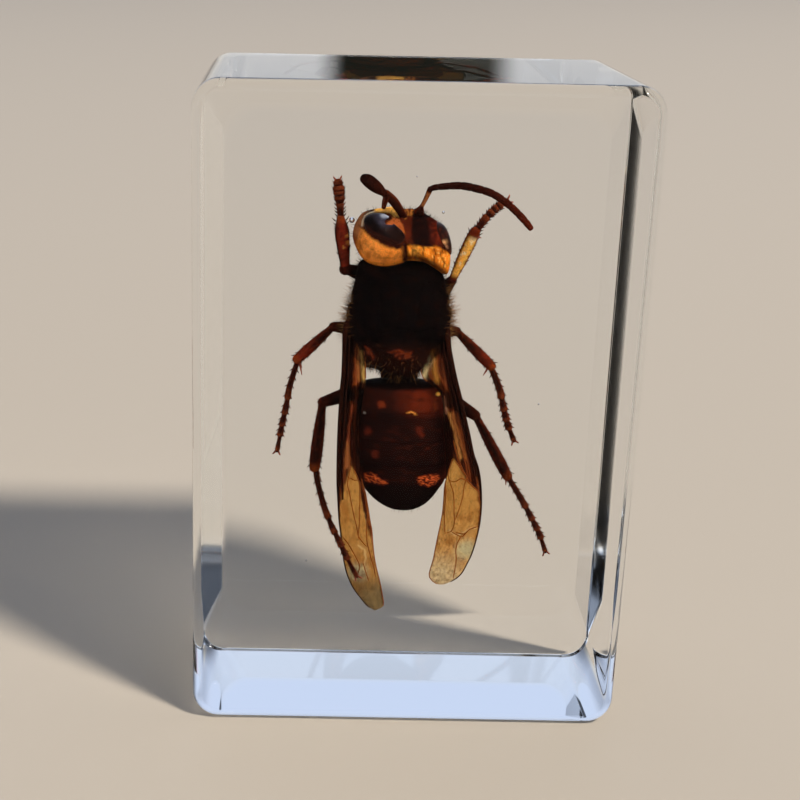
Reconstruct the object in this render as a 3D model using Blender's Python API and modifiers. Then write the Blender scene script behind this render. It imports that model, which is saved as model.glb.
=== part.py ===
"""A dried hornet cast upright in a clear resin block.

The block is poured in two layers, so it is parted just behind the middle of the hornet, and the
layers close around a pocket that follows the hornet's shape. The hornet is one fused solid.

+Z is up, the front face looks along -Y, and the origin is at the middle of the base. Every size
and place below is in millimetres, and the finished solids are scaled to metres last of all.
"""

import math
from collections import namedtuple

import bmesh
import bpy
from mathutils import Euler, Matrix, Vector

METRES_PER_MM = 0.001

# The block
BLOCK_WIDTH = 40
BLOCK_DEPTH = 25
BLOCK_HEIGHT = 60
LONG_EDGE_RADIUS = 2.5    # the four edges that run from front to back
FRONT_EDGE_RADIUS = 1.1
BACK_EDGE_RADIUS = 2.0
PARTING_Y = 1.5           # where the first pour ended
PARTING_GAP = 0.3
POCKET_CLEARANCE = 0.4    # resin kept off the hornet all round
POCKET_SHARE = 0.5             # triangles kept when slivers are thinned out
HORNET_SHARE = 0.72

# The hornet's body, seen from its back: the head is up and the belly is at +Y
BODY_AXIS_X = -1.35
THORAX_Y = 0.2
THORAX_FLATNESS = 0.87         # depth over width
THORAX_PROFILE = (             # radius and height, from the neck down to the waist
    (0.0, 43.3), (1.9, 43.1), (3.7, 42.5), (4.45, 41.3), (4.75, 39.6), (4.8, 37.7),
    (4.65, 36.2), (4.25, 35.0), (3.4, 33.8), (2.1, 32.8), (1.0, 32.1), (0.75, 31.2), (0.0, 30.9),
)
ABDOMEN_TOP = (-0.75, 0.4, 31.9)
ABDOMEN_LENGTH = 13.5
ABDOMEN_FLATNESS = 0.86
ABDOMEN_LEAN = (4.0, -2.0)     # degrees the tip swings to the belly, and sideways
ABDOMEN_WIDTH = 8.7
ABDOMEN_BANDS = (              # each segment's start, its end, and their widths, as shares
    (0.00, 0.19, 0.28, 0.975), (0.19, 0.41, 0.935, 1.00), (0.41, 0.59, 0.955, 0.975),
    (0.59, 0.73, 0.92, 0.885), (0.73, 0.84, 0.82, 0.71), (0.84, 1.00, 0.64, 0.00),
)
BAND_STEP = 0.14               # how far each segment's start lies under the one before

HEAD_CENTRE = (-1.4, 0.1, 45.1)
HEAD_HALF_SIZE = (4.45, 4.1, 2.9)
HEAD_TURN = (32, 5, 18)        # degrees about x, y and z: face raised, tipped, left eye forward
EYE_PLACE = (2.85, -0.6, 1.0)  # on the head, before it is turned
EYE_HALF_SIZE = (1.7, 2.7, 1.85)
EYE_SLANT = 14
CHEEK_PLACE = (1.9, -1.3, -0.7)
CHEEK_HALF_SIZE = (2.6, 2.7, 2.15)
SHIELD_PLACE = (0.0, 1.9, 1.6)
SHIELD_HALF_SIZE = (2.2, 2.0, 1.6)
JAW_POINTS = (                 # one jaw on the head: place and radius
    (1.9, 2.6, 0.9, 0.85), (1.8, 3.9, 1.1, 0.75), (1.2, 4.9, 1.4, 0.5), (0.3, 5.2, 1.6, 0.22),
)

# Each antenna: its stalk and its whip, as (x, y, z, radius)
ANTENNAE = {
    "right": (
        ((-0.1, 0.6, 46.6, 0.34), (0.2, -0.5, 47.8, 0.24), (0.9, -1.7, 49.9, 0.3)),
        ((0.8, -1.75, 49.85, 0.22), (1.8, -2.0, 50.15, 0.3), (3.5, -2.2, 50.3, 0.35),
         (4.9, -2.3, 50.1, 0.35), (6.3, -2.3, 49.7, 0.34), (7.5, -2.1, 49.0, 0.33),
         (8.6, -1.9, 48.1, 0.32), (9.6, -1.6, 47.1, 0.31), (10.2, -1.4, 46.4, 0.24)),
    ),
    "left": (
        ((-1.0, 0.4, 46.3, 0.4), (-1.5, -0.8, 47.4, 0.34), (-2.3, -1.8, 48.7, 0.4),
         (-3.2, -2.8, 49.6, 0.44)),
        ((-3.0, -2.6, 49.4, 0.3), (-3.7, -3.5, 50.0, 0.42), (-4.4, -4.5, 50.6, 0.5),
         (-5.0, -5.3, 51.1, 0.5), (-5.5, -6.0, 51.4, 0.36)),
    ),
}
PEG_POINTS = ((-3.0, -2.7, 49.2, 0.27), (-3.25, -2.9, 48.3, 0.2))   # stump at the left elbow

# Each leg's joints, the way its foot runs, its spur's tip, and the radii of its stretches
Leg = namedtuple("Leg", "root hip knee ankle way spur thigh shin foot")
LEGS = {
    "left_fore": Leg(
        root=(-2.4, 2.8, 40.6), hip=(-3.2, 4.2, 40.0), knee=(-6.4, 1.4, 42.0),
        ankle=(-7.0, 0.6, 47.4), way=((-7.2, 0.6, 48.9), (-7.3, 0.6, 50.0)),
        spur=None, thigh=0.6, shin=0.56, foot=0.36),
    "right_fore": Leg(
        root=(0.1, 2.7, 39.1), hip=(2.2, 4.0, 38.2), knee=(3.5, 1.6, 41.1),
        ankle=(5.3, 0.8, 45.8), way=((6.2, 1.0, 47.0), (7.2, 1.2, 48.0), (8.0, 1.4, 48.5)),
        spur=(5.9, 0.9, 45.2), thigh=0.6, shin=0.5, foot=0.36),
    "left_mid": Leg(
        root=(-2.2, 2.8, 36.6), hip=(-3.0, 4.4, 34.9), knee=(-7.4, 0.6, 36.6),
        ankle=(-10.7, 1.5, 33.2),
        way=((-11.3, 2.0, 30.6), (-11.6, 2.2, 28.6), (-12.0, 2.4, 26.5), (-12.4, 2.6, 24.0)),
        spur=(-10.2, 1.6, 31.7), thigh=0.6, shin=0.48, foot=0.3),
    "right_mid": Leg(
        root=(-0.4, 2.8, 36.6), hip=(0.4, 4.4, 34.9), knee=(4.1, 0.6, 36.4),
        ankle=(7.6, 1.5, 32.9), way=((8.5, 2.0, 30.7), (9.4, 2.3, 27.5), (10.2, 2.5, 25.5)),
        spur=(6.9, 1.6, 32.0), thigh=0.6, shin=0.48, foot=0.34),
    "left_hind": Leg(
        root=(-2.4, 2.6, 34.8), hip=(-2.9, 4.6, 31.5), knee=(-8.2, 0.6, 29.2),
        ankle=(-8.8, 1.6, 22.4),
        way=((-8.2, 1.7, 19.6), (-7.6, 1.6, 17.4), (-6.8, 1.4, 15.5), (-6.1, 1.2, 14.0),
             (-4.6, 0.8, 11.3)),
        spur=(-8.1, 1.7, 21.0), thigh=0.68, shin=0.54, foot=0.31),
    "right_hind": Leg(
        root=(-0.2, 2.6, 34.8), hip=(0.8, 4.5, 32.3), knee=(6.3, 0.6, 28.2),
        ankle=(9.8, 1.6, 21.9),
        way=((11.2, 1.9, 19.7), (12.3, 2.1, 17.8), (13.4, 2.3, 15.7), (14.0, 2.4, 14.1)),
        spur=(9.7, 1.7, 21.0), thigh=0.68, shin=0.5, foot=0.31),
}
FOOT_SECTIONS = (0.44, 0.60, 0.73, 0.84, 1.0)   # where each foot section ends
TOE_FLARE = 1.15               # a section's far end, against the foot's radius
TOE_WAIST = 0.72               # and the neck of the next one
TOE_GAP = 0.015
CLAW_LENGTH = 0.8
CLAW_SPREAD = 32               # degrees to each side
FINE_RADIUS = 0.13             # spurs and claws

# The wings lie folded lengthwise along the abdomen: outline as (x, z), outer edge first
WING_OUTLINES = {
    "left": (
        (-6.1, 37.3), (-6.3, 33.9), (-6.5, 28.6), (-6.6, 21.9), (-6.3, 17.1), (-5.7, 13.4),
        (-4.8, 11.0), (-3.6, 9.2), (-2.7, 8.4), (-1.9, 8.6), (-2.1, 10.3), (-2.7, 13.4),
        (-3.5, 18.8), (-4.3, 22.6), (-4.4, 27.2), (-4.3, 31.0), (-4.0, 34.6), (-4.4, 36.6),
    ),
    "right": (
        (3.0, 37.0), (3.5, 35.2), (4.2, 31.8), (4.9, 28.8), (5.8, 25.5), (6.7, 22.6), (7.0, 20.2),
        (6.9, 17.4), (6.5, 15.0), (5.9, 13.3), (5.1, 12.1), (4.1, 11.4), (3.2, 11.5),
        (2.6, 12.2), (3.0, 15.4), (3.5, 19.6), (3.6, 22.9), (3.1, 26.4), (2.5, 30.3),
        (1.7, 33.0), (1.6, 35.0), (2.0, 36.4),
    ),
}
WING_EDGE_POINTS = {"left": 9, "right": 11}     # how many of them the thick front edge follows
WING_THICKNESS = 0.42
WING_EDGE_RADIUS = 0.3
WING_MIDDLE_Z = 23.0
WING_MIDDLE_Y = -2.5           # the wings arch over the abdomen's flanks
WING_ARCH = 0.0052             # how fast they sink towards both ends, per millimetre

CUTICLE = ("hornet cuticle", (0.055, 0.018, 0.009, 1.0), 0.35, 0.0)
AMBER_CUTICLE = ("amber cuticle", (0.55, 0.22, 0.05, 1.0), 0.35, 0.0)
MEMBRANE = ("wing membrane", (0.42, 0.26, 0.09, 1.0), 0.3, 0.0)
RESIN = ("clear cast resin", (0.93, 0.95, 0.96, 1.0), 0.03, 0.0)


def remove_scene_objects():
    for item in list(bpy.data.objects):
        bpy.data.objects.remove(item, do_unlink=True)


def new_collection(name):
    group = bpy.data.collections.new(name)
    bpy.context.scene.collection.children.link(group)
    return group


def material(spec):
    name, colour, roughness, metallic = spec
    found = bpy.data.materials.get(name)
    if found:
        return found
    made = bpy.data.materials.new(name)
    made.use_nodes = True
    shader = made.node_tree.nodes["Principled BSDF"]
    shader.inputs["Base Color"].default_value = colour
    shader.inputs["Roughness"].default_value = roughness
    shader.inputs["Metallic"].default_value = metallic
    return made


def new_object(name, data, group):
    made = bpy.data.objects.new(name, data)
    group.objects.link(made)
    return made


def evaluated_mesh(item):
    bpy.context.view_layer.update()
    depsgraph = bpy.context.evaluated_depsgraph_get()
    return bpy.data.meshes.new_from_object(item.evaluated_get(depsgraph))


def settle(item, spec, merge=0.002):
    """Turn a curve, or a mesh with modifiers, into a plain welded mesh at the origin."""
    mesh = evaluated_mesh(item)
    mesh.transform(item.matrix_world)
    made = new_object(item.name + "_mesh", mesh, item.users_collection[0])
    bpy.data.objects.remove(item, do_unlink=True)
    work = bmesh.new()
    work.from_mesh(mesh)
    bmesh.ops.remove_doubles(work, verts=work.verts, dist=merge)
    bmesh.ops.recalc_face_normals(work, faces=work.faces)
    work.to_mesh(mesh)
    work.free()
    mesh.materials.clear()
    mesh.materials.append(material(spec))
    return made


class Stock:
    """How the hornet's shapes are made: as they are, or grown and plainer for the pocket."""

    def __init__(self, group, grow, steps, sides, plain):
        self.group = group
        self.grow = grow
        self.steps = steps
        self.sides = sides      # bevel resolution of limbs: 1 gives 6 sides, 2 gives 8
        self.plain = plain
        self.pieces = []

    def turned(self, name, profile, spec, flatness, place, lean=(0.0, 0.0)):
        """A body turned about its length, then flattened from belly to back."""
        ends = (profile[0], profile[-1])
        points = []
        for point in profile:
            radius, height = point
            if point in ends:
                height += self.grow if point is ends[0] else -self.grow
            else:
                radius += self.grow
            points.append((radius, 0, height))
        mesh = bpy.data.meshes.new(name)
        mesh.from_pydata(points, [(i, i + 1) for i in range(len(points) - 1)], [])
        item = new_object(name, mesh, self.group)
        screw = item.modifiers.new("turn", "SCREW")
        screw.steps = self.steps
        screw.render_steps = self.steps
        screw.use_merge_vertices = True
        screw.merge_threshold = 0.001
        tilt = Euler((math.radians(lean[0]), math.radians(lean[1]), 0)).to_matrix().to_4x4()
        flat = flatness + self.grow * (1 - flatness) / max(radius for radius, _ in profile)
        item.matrix_world = (
            Matrix.Translation(Vector(place)) @ tilt @ Matrix.Diagonal((1, flat, 1, 1)))
        self.pieces.append(settle(item, spec))

    def lump(self, name, place, half_size, spec, frame=Matrix(), turn=0.0, rounds=14, rings=9):
        """An egg-shaped lump, in the frame of the head or of the world."""
        mesh = bpy.data.meshes.new(name)
        work = bmesh.new()
        if self.plain:
            rounds, rings = 10, 7
        bmesh.ops.create_uvsphere(work, u_segments=rounds, v_segments=rings, radius=1)
        work.to_mesh(mesh)
        work.free()
        item = new_object(name, mesh, self.group)
        size = [(half + self.grow) for half in half_size]
        spin = Matrix.Rotation(math.radians(turn), 4, "Z")
        item.matrix_world = (
            frame @ Matrix.Translation(Vector(place)) @ spin @ Matrix.Diagonal((*size, 1)))
        self.pieces.append(settle(item, spec))

    def limb(self, name, points, spec, frame=Matrix(), sides=None):
        """A tapering tube through (x, y, z, radius) points."""
        if self.grow:
            points = lengthened(points, self.grow)
        curve = bpy.data.curves.new(name, "CURVE")
        curve.dimensions = "3D"
        curve.bevel_depth = 1.0
        curve.bevel_resolution = self.sides if sides is None else sides
        curve.use_fill_caps = True
        spline = curve.splines.new("POLY")
        spline.points.add(len(points) - 1)
        for knot, (x, y, z, radius) in zip(spline.points, points):
            knot.co = (x, y, z, 1)
            knot.radius = radius + self.grow
        item = new_object(name, curve, self.group)
        item.matrix_world = frame
        self.pieces.append(settle(item, spec))


def lengthened(points, extra):
    """The same tube, longer at both ends."""
    def beyond(end, inner):
        away = (Vector(end[:3]) - Vector(inner[:3])).normalized() * extra
        return (*(Vector(end[:3]) + away), end[3])
    return [beyond(points[0], points[1]), *points[1:-1], beyond(points[-1], points[-2])]


def on_path(points, share):
    """The place at a share of the way along a run of points."""
    places = [Vector(point) for point in points]
    lengths = [(b - a).length for a, b in zip(places, places[1:])]
    left = share * sum(lengths)
    for start, end, length in zip(places, places[1:], lengths):
        if left <= length:
            return start.lerp(end, left / length)
        left -= length
    return places[-1]


def abdomen_profile(plain):
    """Each band widens to its hind edge and steps in under it."""
    half = ABDOMEN_WIDTH / 2
    length = ABDOMEN_LENGTH
    profile = [(0.0, 0.6)]
    for band, (start, end, width_in, width_out) in enumerate(ABDOMEN_BANDS):
        first = band == 0
        last = band == len(ABDOMEN_BANDS) - 1
        profile.append((width_in * half, -start * length - (0.0 if first else BAND_STEP)))
        if first:      # the front of the abdomen is cut off steeply
            profile.append((0.62 * half, -0.025 * length))
            profile.append((0.86 * half, -0.075 * length))
        if last:       # the tip closes in a quarter round
            for step in (22, 45, 68):
                angle = math.radians(step)
                drop = (start + (end - start) * math.sin(angle)) * length
                profile.append((width_in * half * math.cos(angle), -drop))
            profile.append((0.0, -length))
        elif not plain:
            profile.append((width_out * half, -end * length))
    return profile


def head_frame():
    turn = Euler([math.radians(angle) for angle in HEAD_TURN]).to_matrix().to_4x4()
    return Matrix.Translation(Vector(HEAD_CENTRE)) @ turn


def add_body(stock):
    stock.turned("thorax", THORAX_PROFILE, CUTICLE, THORAX_FLATNESS, (BODY_AXIS_X, THORAX_Y, 0))
    stock.turned("abdomen", abdomen_profile(stock.plain), CUTICLE, ABDOMEN_FLATNESS,
                 ABDOMEN_TOP, ABDOMEN_LEAN)


def add_head(stock):
    frame = head_frame()
    stock.lump("head", (0, 0, 0), HEAD_HALF_SIZE, AMBER_CUTICLE, frame, rounds=20, rings=12)
    stock.lump("shield", SHIELD_PLACE, SHIELD_HALF_SIZE, AMBER_CUTICLE, frame)
    for side in (-1, 1):
        x, y, z = EYE_PLACE
        stock.lump("eye", (side * x, y, z), EYE_HALF_SIZE, CUTICLE, frame, side * EYE_SLANT)
        x, y, z = CHEEK_PLACE
        stock.lump("cheek", (side * x, y, z), CHEEK_HALF_SIZE, AMBER_CUTICLE, frame)
        jaw = [(side * x, y, z, radius) for x, y, z, radius in JAW_POINTS]
        stock.limb("jaw", jaw, CUTICLE, frame)


def add_antennae(stock):
    for side, (stalk, whip) in ANTENNAE.items():
        stock.limb(side + "_stalk", stalk, CUTICLE)
        stock.limb(side + "_whip", whip, CUTICLE)
    stock.limb("peg", PEG_POINTS, CUTICLE)


def foot_points(way, width, plain):
    """Foot sections that widen to their far ends, so that the foot has a saw-toothed outline."""
    points = [(*on_path(way, 0.0), width)]
    for number, end in enumerate(FOOT_SECTIONS):
        last = number == len(FOOT_SECTIONS) - 1
        wide = width * (1.0 if number == 0 else TOE_FLARE)
        if last or not plain or number % 2 == 0:
            points.append((*on_path(way, end), wide))
        if not last and not plain:
            points.append((*on_path(way, end + TOE_GAP), width * TOE_WAIST))
    return points


def add_claws(stock, way, width):
    """Two hooked claws that spread from the foot's end; the pocket has one blunt end for both."""
    tip = Vector(way[-1])
    ahead = (tip - Vector(way[-2])).normalized()
    if stock.plain:
        end = tip + ahead * CLAW_LENGTH
        stock.limb("claw", [(*(tip - ahead * 0.5), width), (*end, width)], CUTICLE)
        return
    for side in (-1, 1):
        out = Matrix.Rotation(math.radians(side * CLAW_SPREAD), 3, "Y") @ ahead
        root = tip - ahead * width * (1 + 0.2 * side) + out * 0.1
        bend = tip + out * CLAW_LENGTH * 0.6
        point = bend + (out + Vector((0, 0.8, 0))).normalized() * CLAW_LENGTH * 0.4
        claw = [(*root, FINE_RADIUS), (*bend, FINE_RADIUS), (*point, FINE_RADIUS * 0.6)]
        stock.limb("claw", claw, CUTICLE, sides=0)


def add_legs(stock):
    for name, leg in LEGS.items():
        root, hip, knee, ankle = (Vector(place) for place in leg[:4])
        coxa = [(*root, leg.thigh * 1.5), (*hip, leg.thigh * 1.1)]
        stock.limb(name + "_coxa", coxa, CUTICLE)
        middle = hip.lerp(knee, 0.55)
        femur = [(*hip, leg.thigh * 0.8), (*middle, leg.thigh), (*knee, leg.thigh * 0.72)]
        stock.limb(name + "_femur", femur, CUTICLE)
        start = knee.lerp(ankle, -0.04)      # the shin reaches past the knee's middle
        calf = knee.lerp(ankle, 0.7)
        tibia = [(*start, leg.shin * 0.85), (*calf, leg.shin), (*ankle, leg.shin * 0.95)]
        stock.limb(name + "_tibia", tibia, AMBER_CUTICLE if name == "right_fore" else CUTICLE)
        heel = ankle.lerp(knee, 0.06)        # the foot starts inside the shin's end
        way = (tuple(heel), *leg.way)
        foot = foot_points(way, leg.foot, stock.plain)
        stock.limb(name + "_foot", foot, CUTICLE, sides=1)
        add_claws(stock, way, leg.foot)
        if leg.spur:
            spike = [(*heel, FINE_RADIUS * 1.6), (*leg.spur, FINE_RADIUS * 0.8)]
            stock.limb(name + "_spur", spike, CUTICLE, sides=0)


def wing_depth(z):
    return WING_MIDDLE_Y + WING_ARCH * (z - WING_MIDDLE_Z) ** 2


def add_wings(stock):
    for side, outline in WING_OUTLINES.items():
        curve = bpy.data.curves.new(side + "_wing", "CURVE")
        curve.dimensions = "2D"
        curve.fill_mode = "BOTH"
        curve.extrude = WING_THICKNESS / 2 + stock.grow
        curve.offset = stock.grow
        curve.resolution_u = 2
        spline = curve.splines.new("POLY")
        spline.points.add(len(outline) - 1)
        spline.use_cyclic_u = True
        for knot, (x, z) in zip(spline.points, outline):
            knot.co = (x, z, 0, 1)
        item = new_object(side + "_wing", curve, stock.group)
        item.matrix_world = Matrix.Rotation(math.radians(90), 4, "X")
        wing = settle(item, MEMBRANE)
        for vertex in wing.data.vertices:
            vertex.co.y += wing_depth(vertex.co.z)
        stock.pieces.append(wing)
        edge = [(x, wing_depth(z), z, WING_EDGE_RADIUS)
                for x, z in outline[:WING_EDGE_POINTS[side]]]
        root = (edge[0][0] * 0.75 + BODY_AXIS_X * 0.25, THORAX_Y - 1.2, edge[0][2] + 0.9)
        stock.limb(side + "_wing_edge", [(*root, WING_EDGE_RADIUS * 1.8), *edge], CUTICLE, sides=1)


def hornet_pieces(stock):
    add_body(stock)
    add_head(stock)
    add_antennae(stock)
    add_legs(stock)
    add_wings(stock)
    return stock.pieces


def to_metres(item):
    item.data.transform(Matrix.Scale(METRES_PER_MM, 4))


def boolean(item, operation, other):
    step = item.modifiers.new(operation.lower(), "BOOLEAN")
    step.operation = operation
    step.solver = "EXACT"
    step.object = other
    step.material_mode = "TRANSFER"
    mesh = evaluated_mesh(item)
    item.modifiers.clear()
    item.data = mesh


def fuse(pieces, name, group):
    """Join the pieces into one closed solid."""
    whole = new_object(name, pieces[0].data, group)
    for piece in pieces[1:]:
        boolean(whole, "UNION", piece)
    for piece in pieces:
        bpy.data.objects.remove(piece, do_unlink=True)
    return whole


def thin_out(item, share):
    """Take out the slivers that the joining left, down to a share of the triangles."""
    step = item.modifiers.new("thin", "DECIMATE")
    step.ratio = share
    step.use_collapse_triangulate = True
    mesh = evaluated_mesh(item)
    item.modifiers.clear()
    item.data = mesh


def along_y(edge):
    a, b = (vertex.co for vertex in edge.verts)
    return abs(a.x - b.x) < 1e-4 and abs(a.z - b.z) < 1e-4


def at_depth(edge, depth):
    return all(abs(vertex.co.y - depth) < 1e-4 for vertex in edge.verts)


def round_edges(work, edges, radius, segments):
    bmesh.ops.bevel(work, geom=edges, offset=radius, segments=segments, profile=0.5,
                    affect="EDGES", clamp_overlap=True)


def block_layer(name, start, end, group):
    """The rounded block between two depths, closed flat where the layers meet."""
    work = bmesh.new()
    bmesh.ops.create_cube(work, size=1)
    size = Matrix.Diagonal((BLOCK_WIDTH, BLOCK_DEPTH, BLOCK_HEIGHT, 1))
    lift = Matrix.Translation((0, 0, BLOCK_HEIGHT / 2))
    bmesh.ops.transform(work, matrix=lift @ size, verts=work.verts)
    round_edges(work, [edge for edge in work.edges if along_y(edge)], LONG_EDGE_RADIUS, 5)
    for depth, radius in ((-BLOCK_DEPTH / 2, FRONT_EDGE_RADIUS), (BLOCK_DEPTH / 2, BACK_EDGE_RADIUS)):
        rim = [edge for edge in work.edges if at_depth(edge, depth)]
        round_edges(work, rim, radius, 3)
    for depth, outward in ((start, -1), (end, 1)):
        if abs(depth) < BLOCK_DEPTH / 2:
            geometry = work.verts[:] + work.edges[:] + work.faces[:]
            bmesh.ops.bisect_plane(work, geom=geometry, plane_co=(0, depth, 0),
                                   plane_no=(0, outward, 0), clear_outer=True)
            open_rim = [edge for edge in work.edges if edge.is_boundary]
            bmesh.ops.contextual_create(work, geom=open_rim)
    bmesh.ops.recalc_face_normals(work, faces=work.faces)
    mesh = bpy.data.meshes.new(name)
    work.to_mesh(mesh)
    work.free()
    mesh.materials.append(material(RESIN))
    return new_object(name, mesh, group)


def build():
    remove_scene_objects()
    part = new_collection("insect_in_resin_block")
    cutters = new_collection("cutters")

    true_stock = Stock(cutters, grow=0.0, steps=20, sides=2, plain=False)
    hornet = fuse(hornet_pieces(true_stock), "hornet", part)
    thin_out(hornet, HORNET_SHARE)
    grown_stock = Stock(cutters, grow=POCKET_CLEARANCE, steps=14, sides=1, plain=True)
    pocket = fuse(hornet_pieces(grown_stock), "pocket", cutters)
    thin_out(pocket, POCKET_SHARE)
    pocket.hide_render = True
    pocket.display_type = "WIRE"

    half_gap = PARTING_GAP / 2
    layers = (
        ("resin_front_half", -BLOCK_DEPTH / 2, PARTING_Y - half_gap),
        ("resin_back_half", PARTING_Y + half_gap, BLOCK_DEPTH / 2),
    )
    for name, start, end in layers:
        layer = block_layer(name, start, end, part)
        boolean(layer, "DIFFERENCE", pocket)
        to_metres(layer)
        layer.data.shade_smooth()
        layer.data.set_sharp_from_angle(angle=math.radians(35))
    to_metres(hornet)
    to_metres(pocket)
    hornet.data.shade_smooth()
    hornet.data.set_sharp_from_angle(angle=math.radians(50))


build()
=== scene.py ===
import math

import bmesh
import bpy
import numpy as np
from mathutils import Euler, Matrix, Vector, noise


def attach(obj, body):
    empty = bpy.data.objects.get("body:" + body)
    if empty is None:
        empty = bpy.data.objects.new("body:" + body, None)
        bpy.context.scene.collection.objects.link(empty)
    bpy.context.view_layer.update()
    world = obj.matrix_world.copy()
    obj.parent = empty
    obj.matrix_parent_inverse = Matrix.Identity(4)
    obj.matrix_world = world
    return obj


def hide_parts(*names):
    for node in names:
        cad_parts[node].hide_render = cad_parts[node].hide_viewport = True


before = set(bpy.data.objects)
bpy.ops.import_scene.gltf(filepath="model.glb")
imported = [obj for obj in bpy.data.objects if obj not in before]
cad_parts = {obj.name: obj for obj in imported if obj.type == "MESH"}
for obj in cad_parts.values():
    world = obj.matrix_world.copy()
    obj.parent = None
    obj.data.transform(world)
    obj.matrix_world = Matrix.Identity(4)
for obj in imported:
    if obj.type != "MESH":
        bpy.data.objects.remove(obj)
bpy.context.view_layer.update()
mm = 0.001
scene = bpy.context.scene


# Small helpers. The hornet's numbers are in millimetres until a mesh is made of them.

def fromHex(code):
    channels = [int(code[i:i + 2], 16) / 255 for i in (1, 3, 5)]
    linear = [c / 12.92 if c <= 0.04045 else ((c + 0.055) / 1.055) ** 2.4 for c in channels]
    return (*linear, 1.0)


def addNode(tree, kind, settings=None, inputs=None):
    node = tree.nodes.new(kind)
    for key, value in (settings or {}).items():
        setattr(node, key, value)
    for key, value in (inputs or {}).items():
        if isinstance(value, bpy.types.NodeSocket):
            tree.links.new(value, node.inputs[key])
        else:
            node.inputs[key].default_value = value
    return node


# Each of these adds one kind of node and gives its output. Sizes and depths are in millimetres.

def maths(tree, operation, *values):
    return addNode(tree, "ShaderNodeMath", {"operation": operation}, dict(enumerate(values))).outputs[0]


def ranged(tree, value, low, high, first=0.0, last=1.0, smooth=False):
    settings = {"interpolation_type": "SMOOTHSTEP"} if smooth else None
    return addNode(tree, "ShaderNodeMapRange", settings, {
        "Value": value, "From Min": low, "From Max": high, "To Min": first, "To Max": last}).outputs[0]


def mixed(tree, share, first, second):
    return addNode(tree, "ShaderNodeMix", {"data_type": "RGBA"}, {
        "Factor": share, "A": first, "B": second}).outputs["Result"]


def cloudNoise(tree, where, size, detail=2.0, roughness=0.5):
    return addNode(tree, "ShaderNodeTexNoise", inputs={
        "Vector": where, "Scale": 1 / (size * mm), "Detail": detail, "Roughness": roughness}).outputs["Fac"]


def cells(tree, where, size, feature):
    return addNode(tree, "ShaderNodeTexVoronoi", {"feature": feature}, {
        "Vector": where, "Scale": 1 / (size * mm)}).outputs["Distance"]


def relief(tree, height, strength, depth):
    return addNode(tree, "ShaderNodeBump", inputs={
        "Height": height, "Strength": strength, "Distance": depth * mm}).outputs[0]


def brightened(tree, colour, value):
    return addNode(tree, "ShaderNodeHueSaturation", inputs={"Color": colour, "Value": value}).outputs[0]


def meshValue(tree, name, output):
    return addNode(tree, "ShaderNodeAttribute", {"attribute_name": name}).outputs[output]


def objectPlace(tree):
    return addNode(tree, "ShaderNodeTexCoord").outputs["Object"]


# A material's own tree, and its surface, made last.

def newMaterial(name):
    material = bpy.data.materials.new(name)
    material.use_nodes = True
    material.node_tree.nodes.clear()
    return material, material.node_tree


def addSurface(tree, inputs, **outputs):
    outputs["Surface"] = addNode(tree, "ShaderNodeBsdfPrincipled", inputs=inputs).outputs[0]
    addNode(tree, "ShaderNodeOutputMaterial", inputs=outputs)


# Pieces

def newPiece(name, data):
    piece = bpy.data.objects.new(name, data)
    scene.collection.objects.link(piece)
    return piece


# A mesh with a tone, the colour at each point, and other named values at each point.
def meshPiece(name, points, faces, material, tone=None, values=None, edges=()):
    mesh = bpy.data.meshes.new(name)
    mesh.from_pydata((np.asarray(points) * mm).tolist(), list(edges), [tuple(f) for f in faces])
    if tone is not None:
        colour = np.ones((len(points), 4))
        colour[:, :3] = tone
        layer = mesh.attributes.new("tone", "FLOAT_COLOR", "POINT")
        layer.data.foreach_set("color", colour.ravel().astype(np.float32))
    for key, numbers in (values or {}).items():
        numbers = np.asarray(numbers, dtype=np.float32)
        kind, field = ("FLOAT_VECTOR", "vector") if numbers.ndim == 2 else ("FLOAT", "value")
        mesh.attributes.new(key, kind, "POINT").data.foreach_set(field, numbers.ravel())
    mesh.shade_smooth()
    if material:
        mesh.materials.append(material)
    return newPiece(name, mesh)


def hornetPiece(piece):
    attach(piece, "root")
    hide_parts("hornet")
    return piece


# Measures over many places at once

def lengths(vectors):
    return np.linalg.norm(vectors, axis=-1)


def smoothStep(low, high, values):
    share = np.clip((np.asarray(values) - low) / (high - low), 0, 1)
    return share * share * (3 - 2 * share)


# A smooth run of count points through the given ones.
def smoothRun(points, count, closed=False):
    points = np.asarray(points, dtype=float)
    if closed:
        padded = np.vstack([points[-1], points, points[:2]])
        spans = len(points)
    else:
        padded = np.vstack([2 * points[0] - points[1], points, 2 * points[-1] - points[-2]])
        spans = len(points) - 1
    steps = np.linalg.norm(np.diff(padded[1:spans + 2, :3], axis=0), axis=1)
    reach = np.concatenate([[0], np.cumsum(steps)])
    wanted = np.linspace(0, reach[-1], count, endpoint=not closed)
    span = np.clip(np.searchsorted(reach, wanted, side="right") - 1, 0, spans - 1)
    t = ((wanted - reach[span]) / np.maximum(steps[span], 1e-9))[:, None]
    a, b, c, d = (padded[span + k] for k in range(4))
    return 0.5 * (2 * b + (c - a) * t + (2 * a - 5 * b + 4 * c - d) * t ** 2
                  + (3 * b - a - 3 * c + d) * t ** 3)


# Distance of places from a line of points
def nearRun(places, run):
    run = np.asarray(run, dtype=float)
    nearest = np.full(len(places), 1e9)
    for a, b in zip(run, run[1:]):
        along = b - a
        t = np.clip(((places - a) @ along) / max(along @ along, 1e-12), 0, 1)
        nearest = np.minimum(nearest, np.linalg.norm(places - (a + t[:, None] * along), axis=1))
    return nearest


# 1 at distance 0, falling off softly over the width
def ridge(distance, width):
    return np.exp(-(distance / width) ** 2)


def stroke(places, run, width):
    return ridge(nearRun(places, run), width)


def disc(places, centre, radius, soft):
    return 1 - smoothStep(radius - soft, radius + soft, np.linalg.norm(places - np.array(centre), axis=1))


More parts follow.
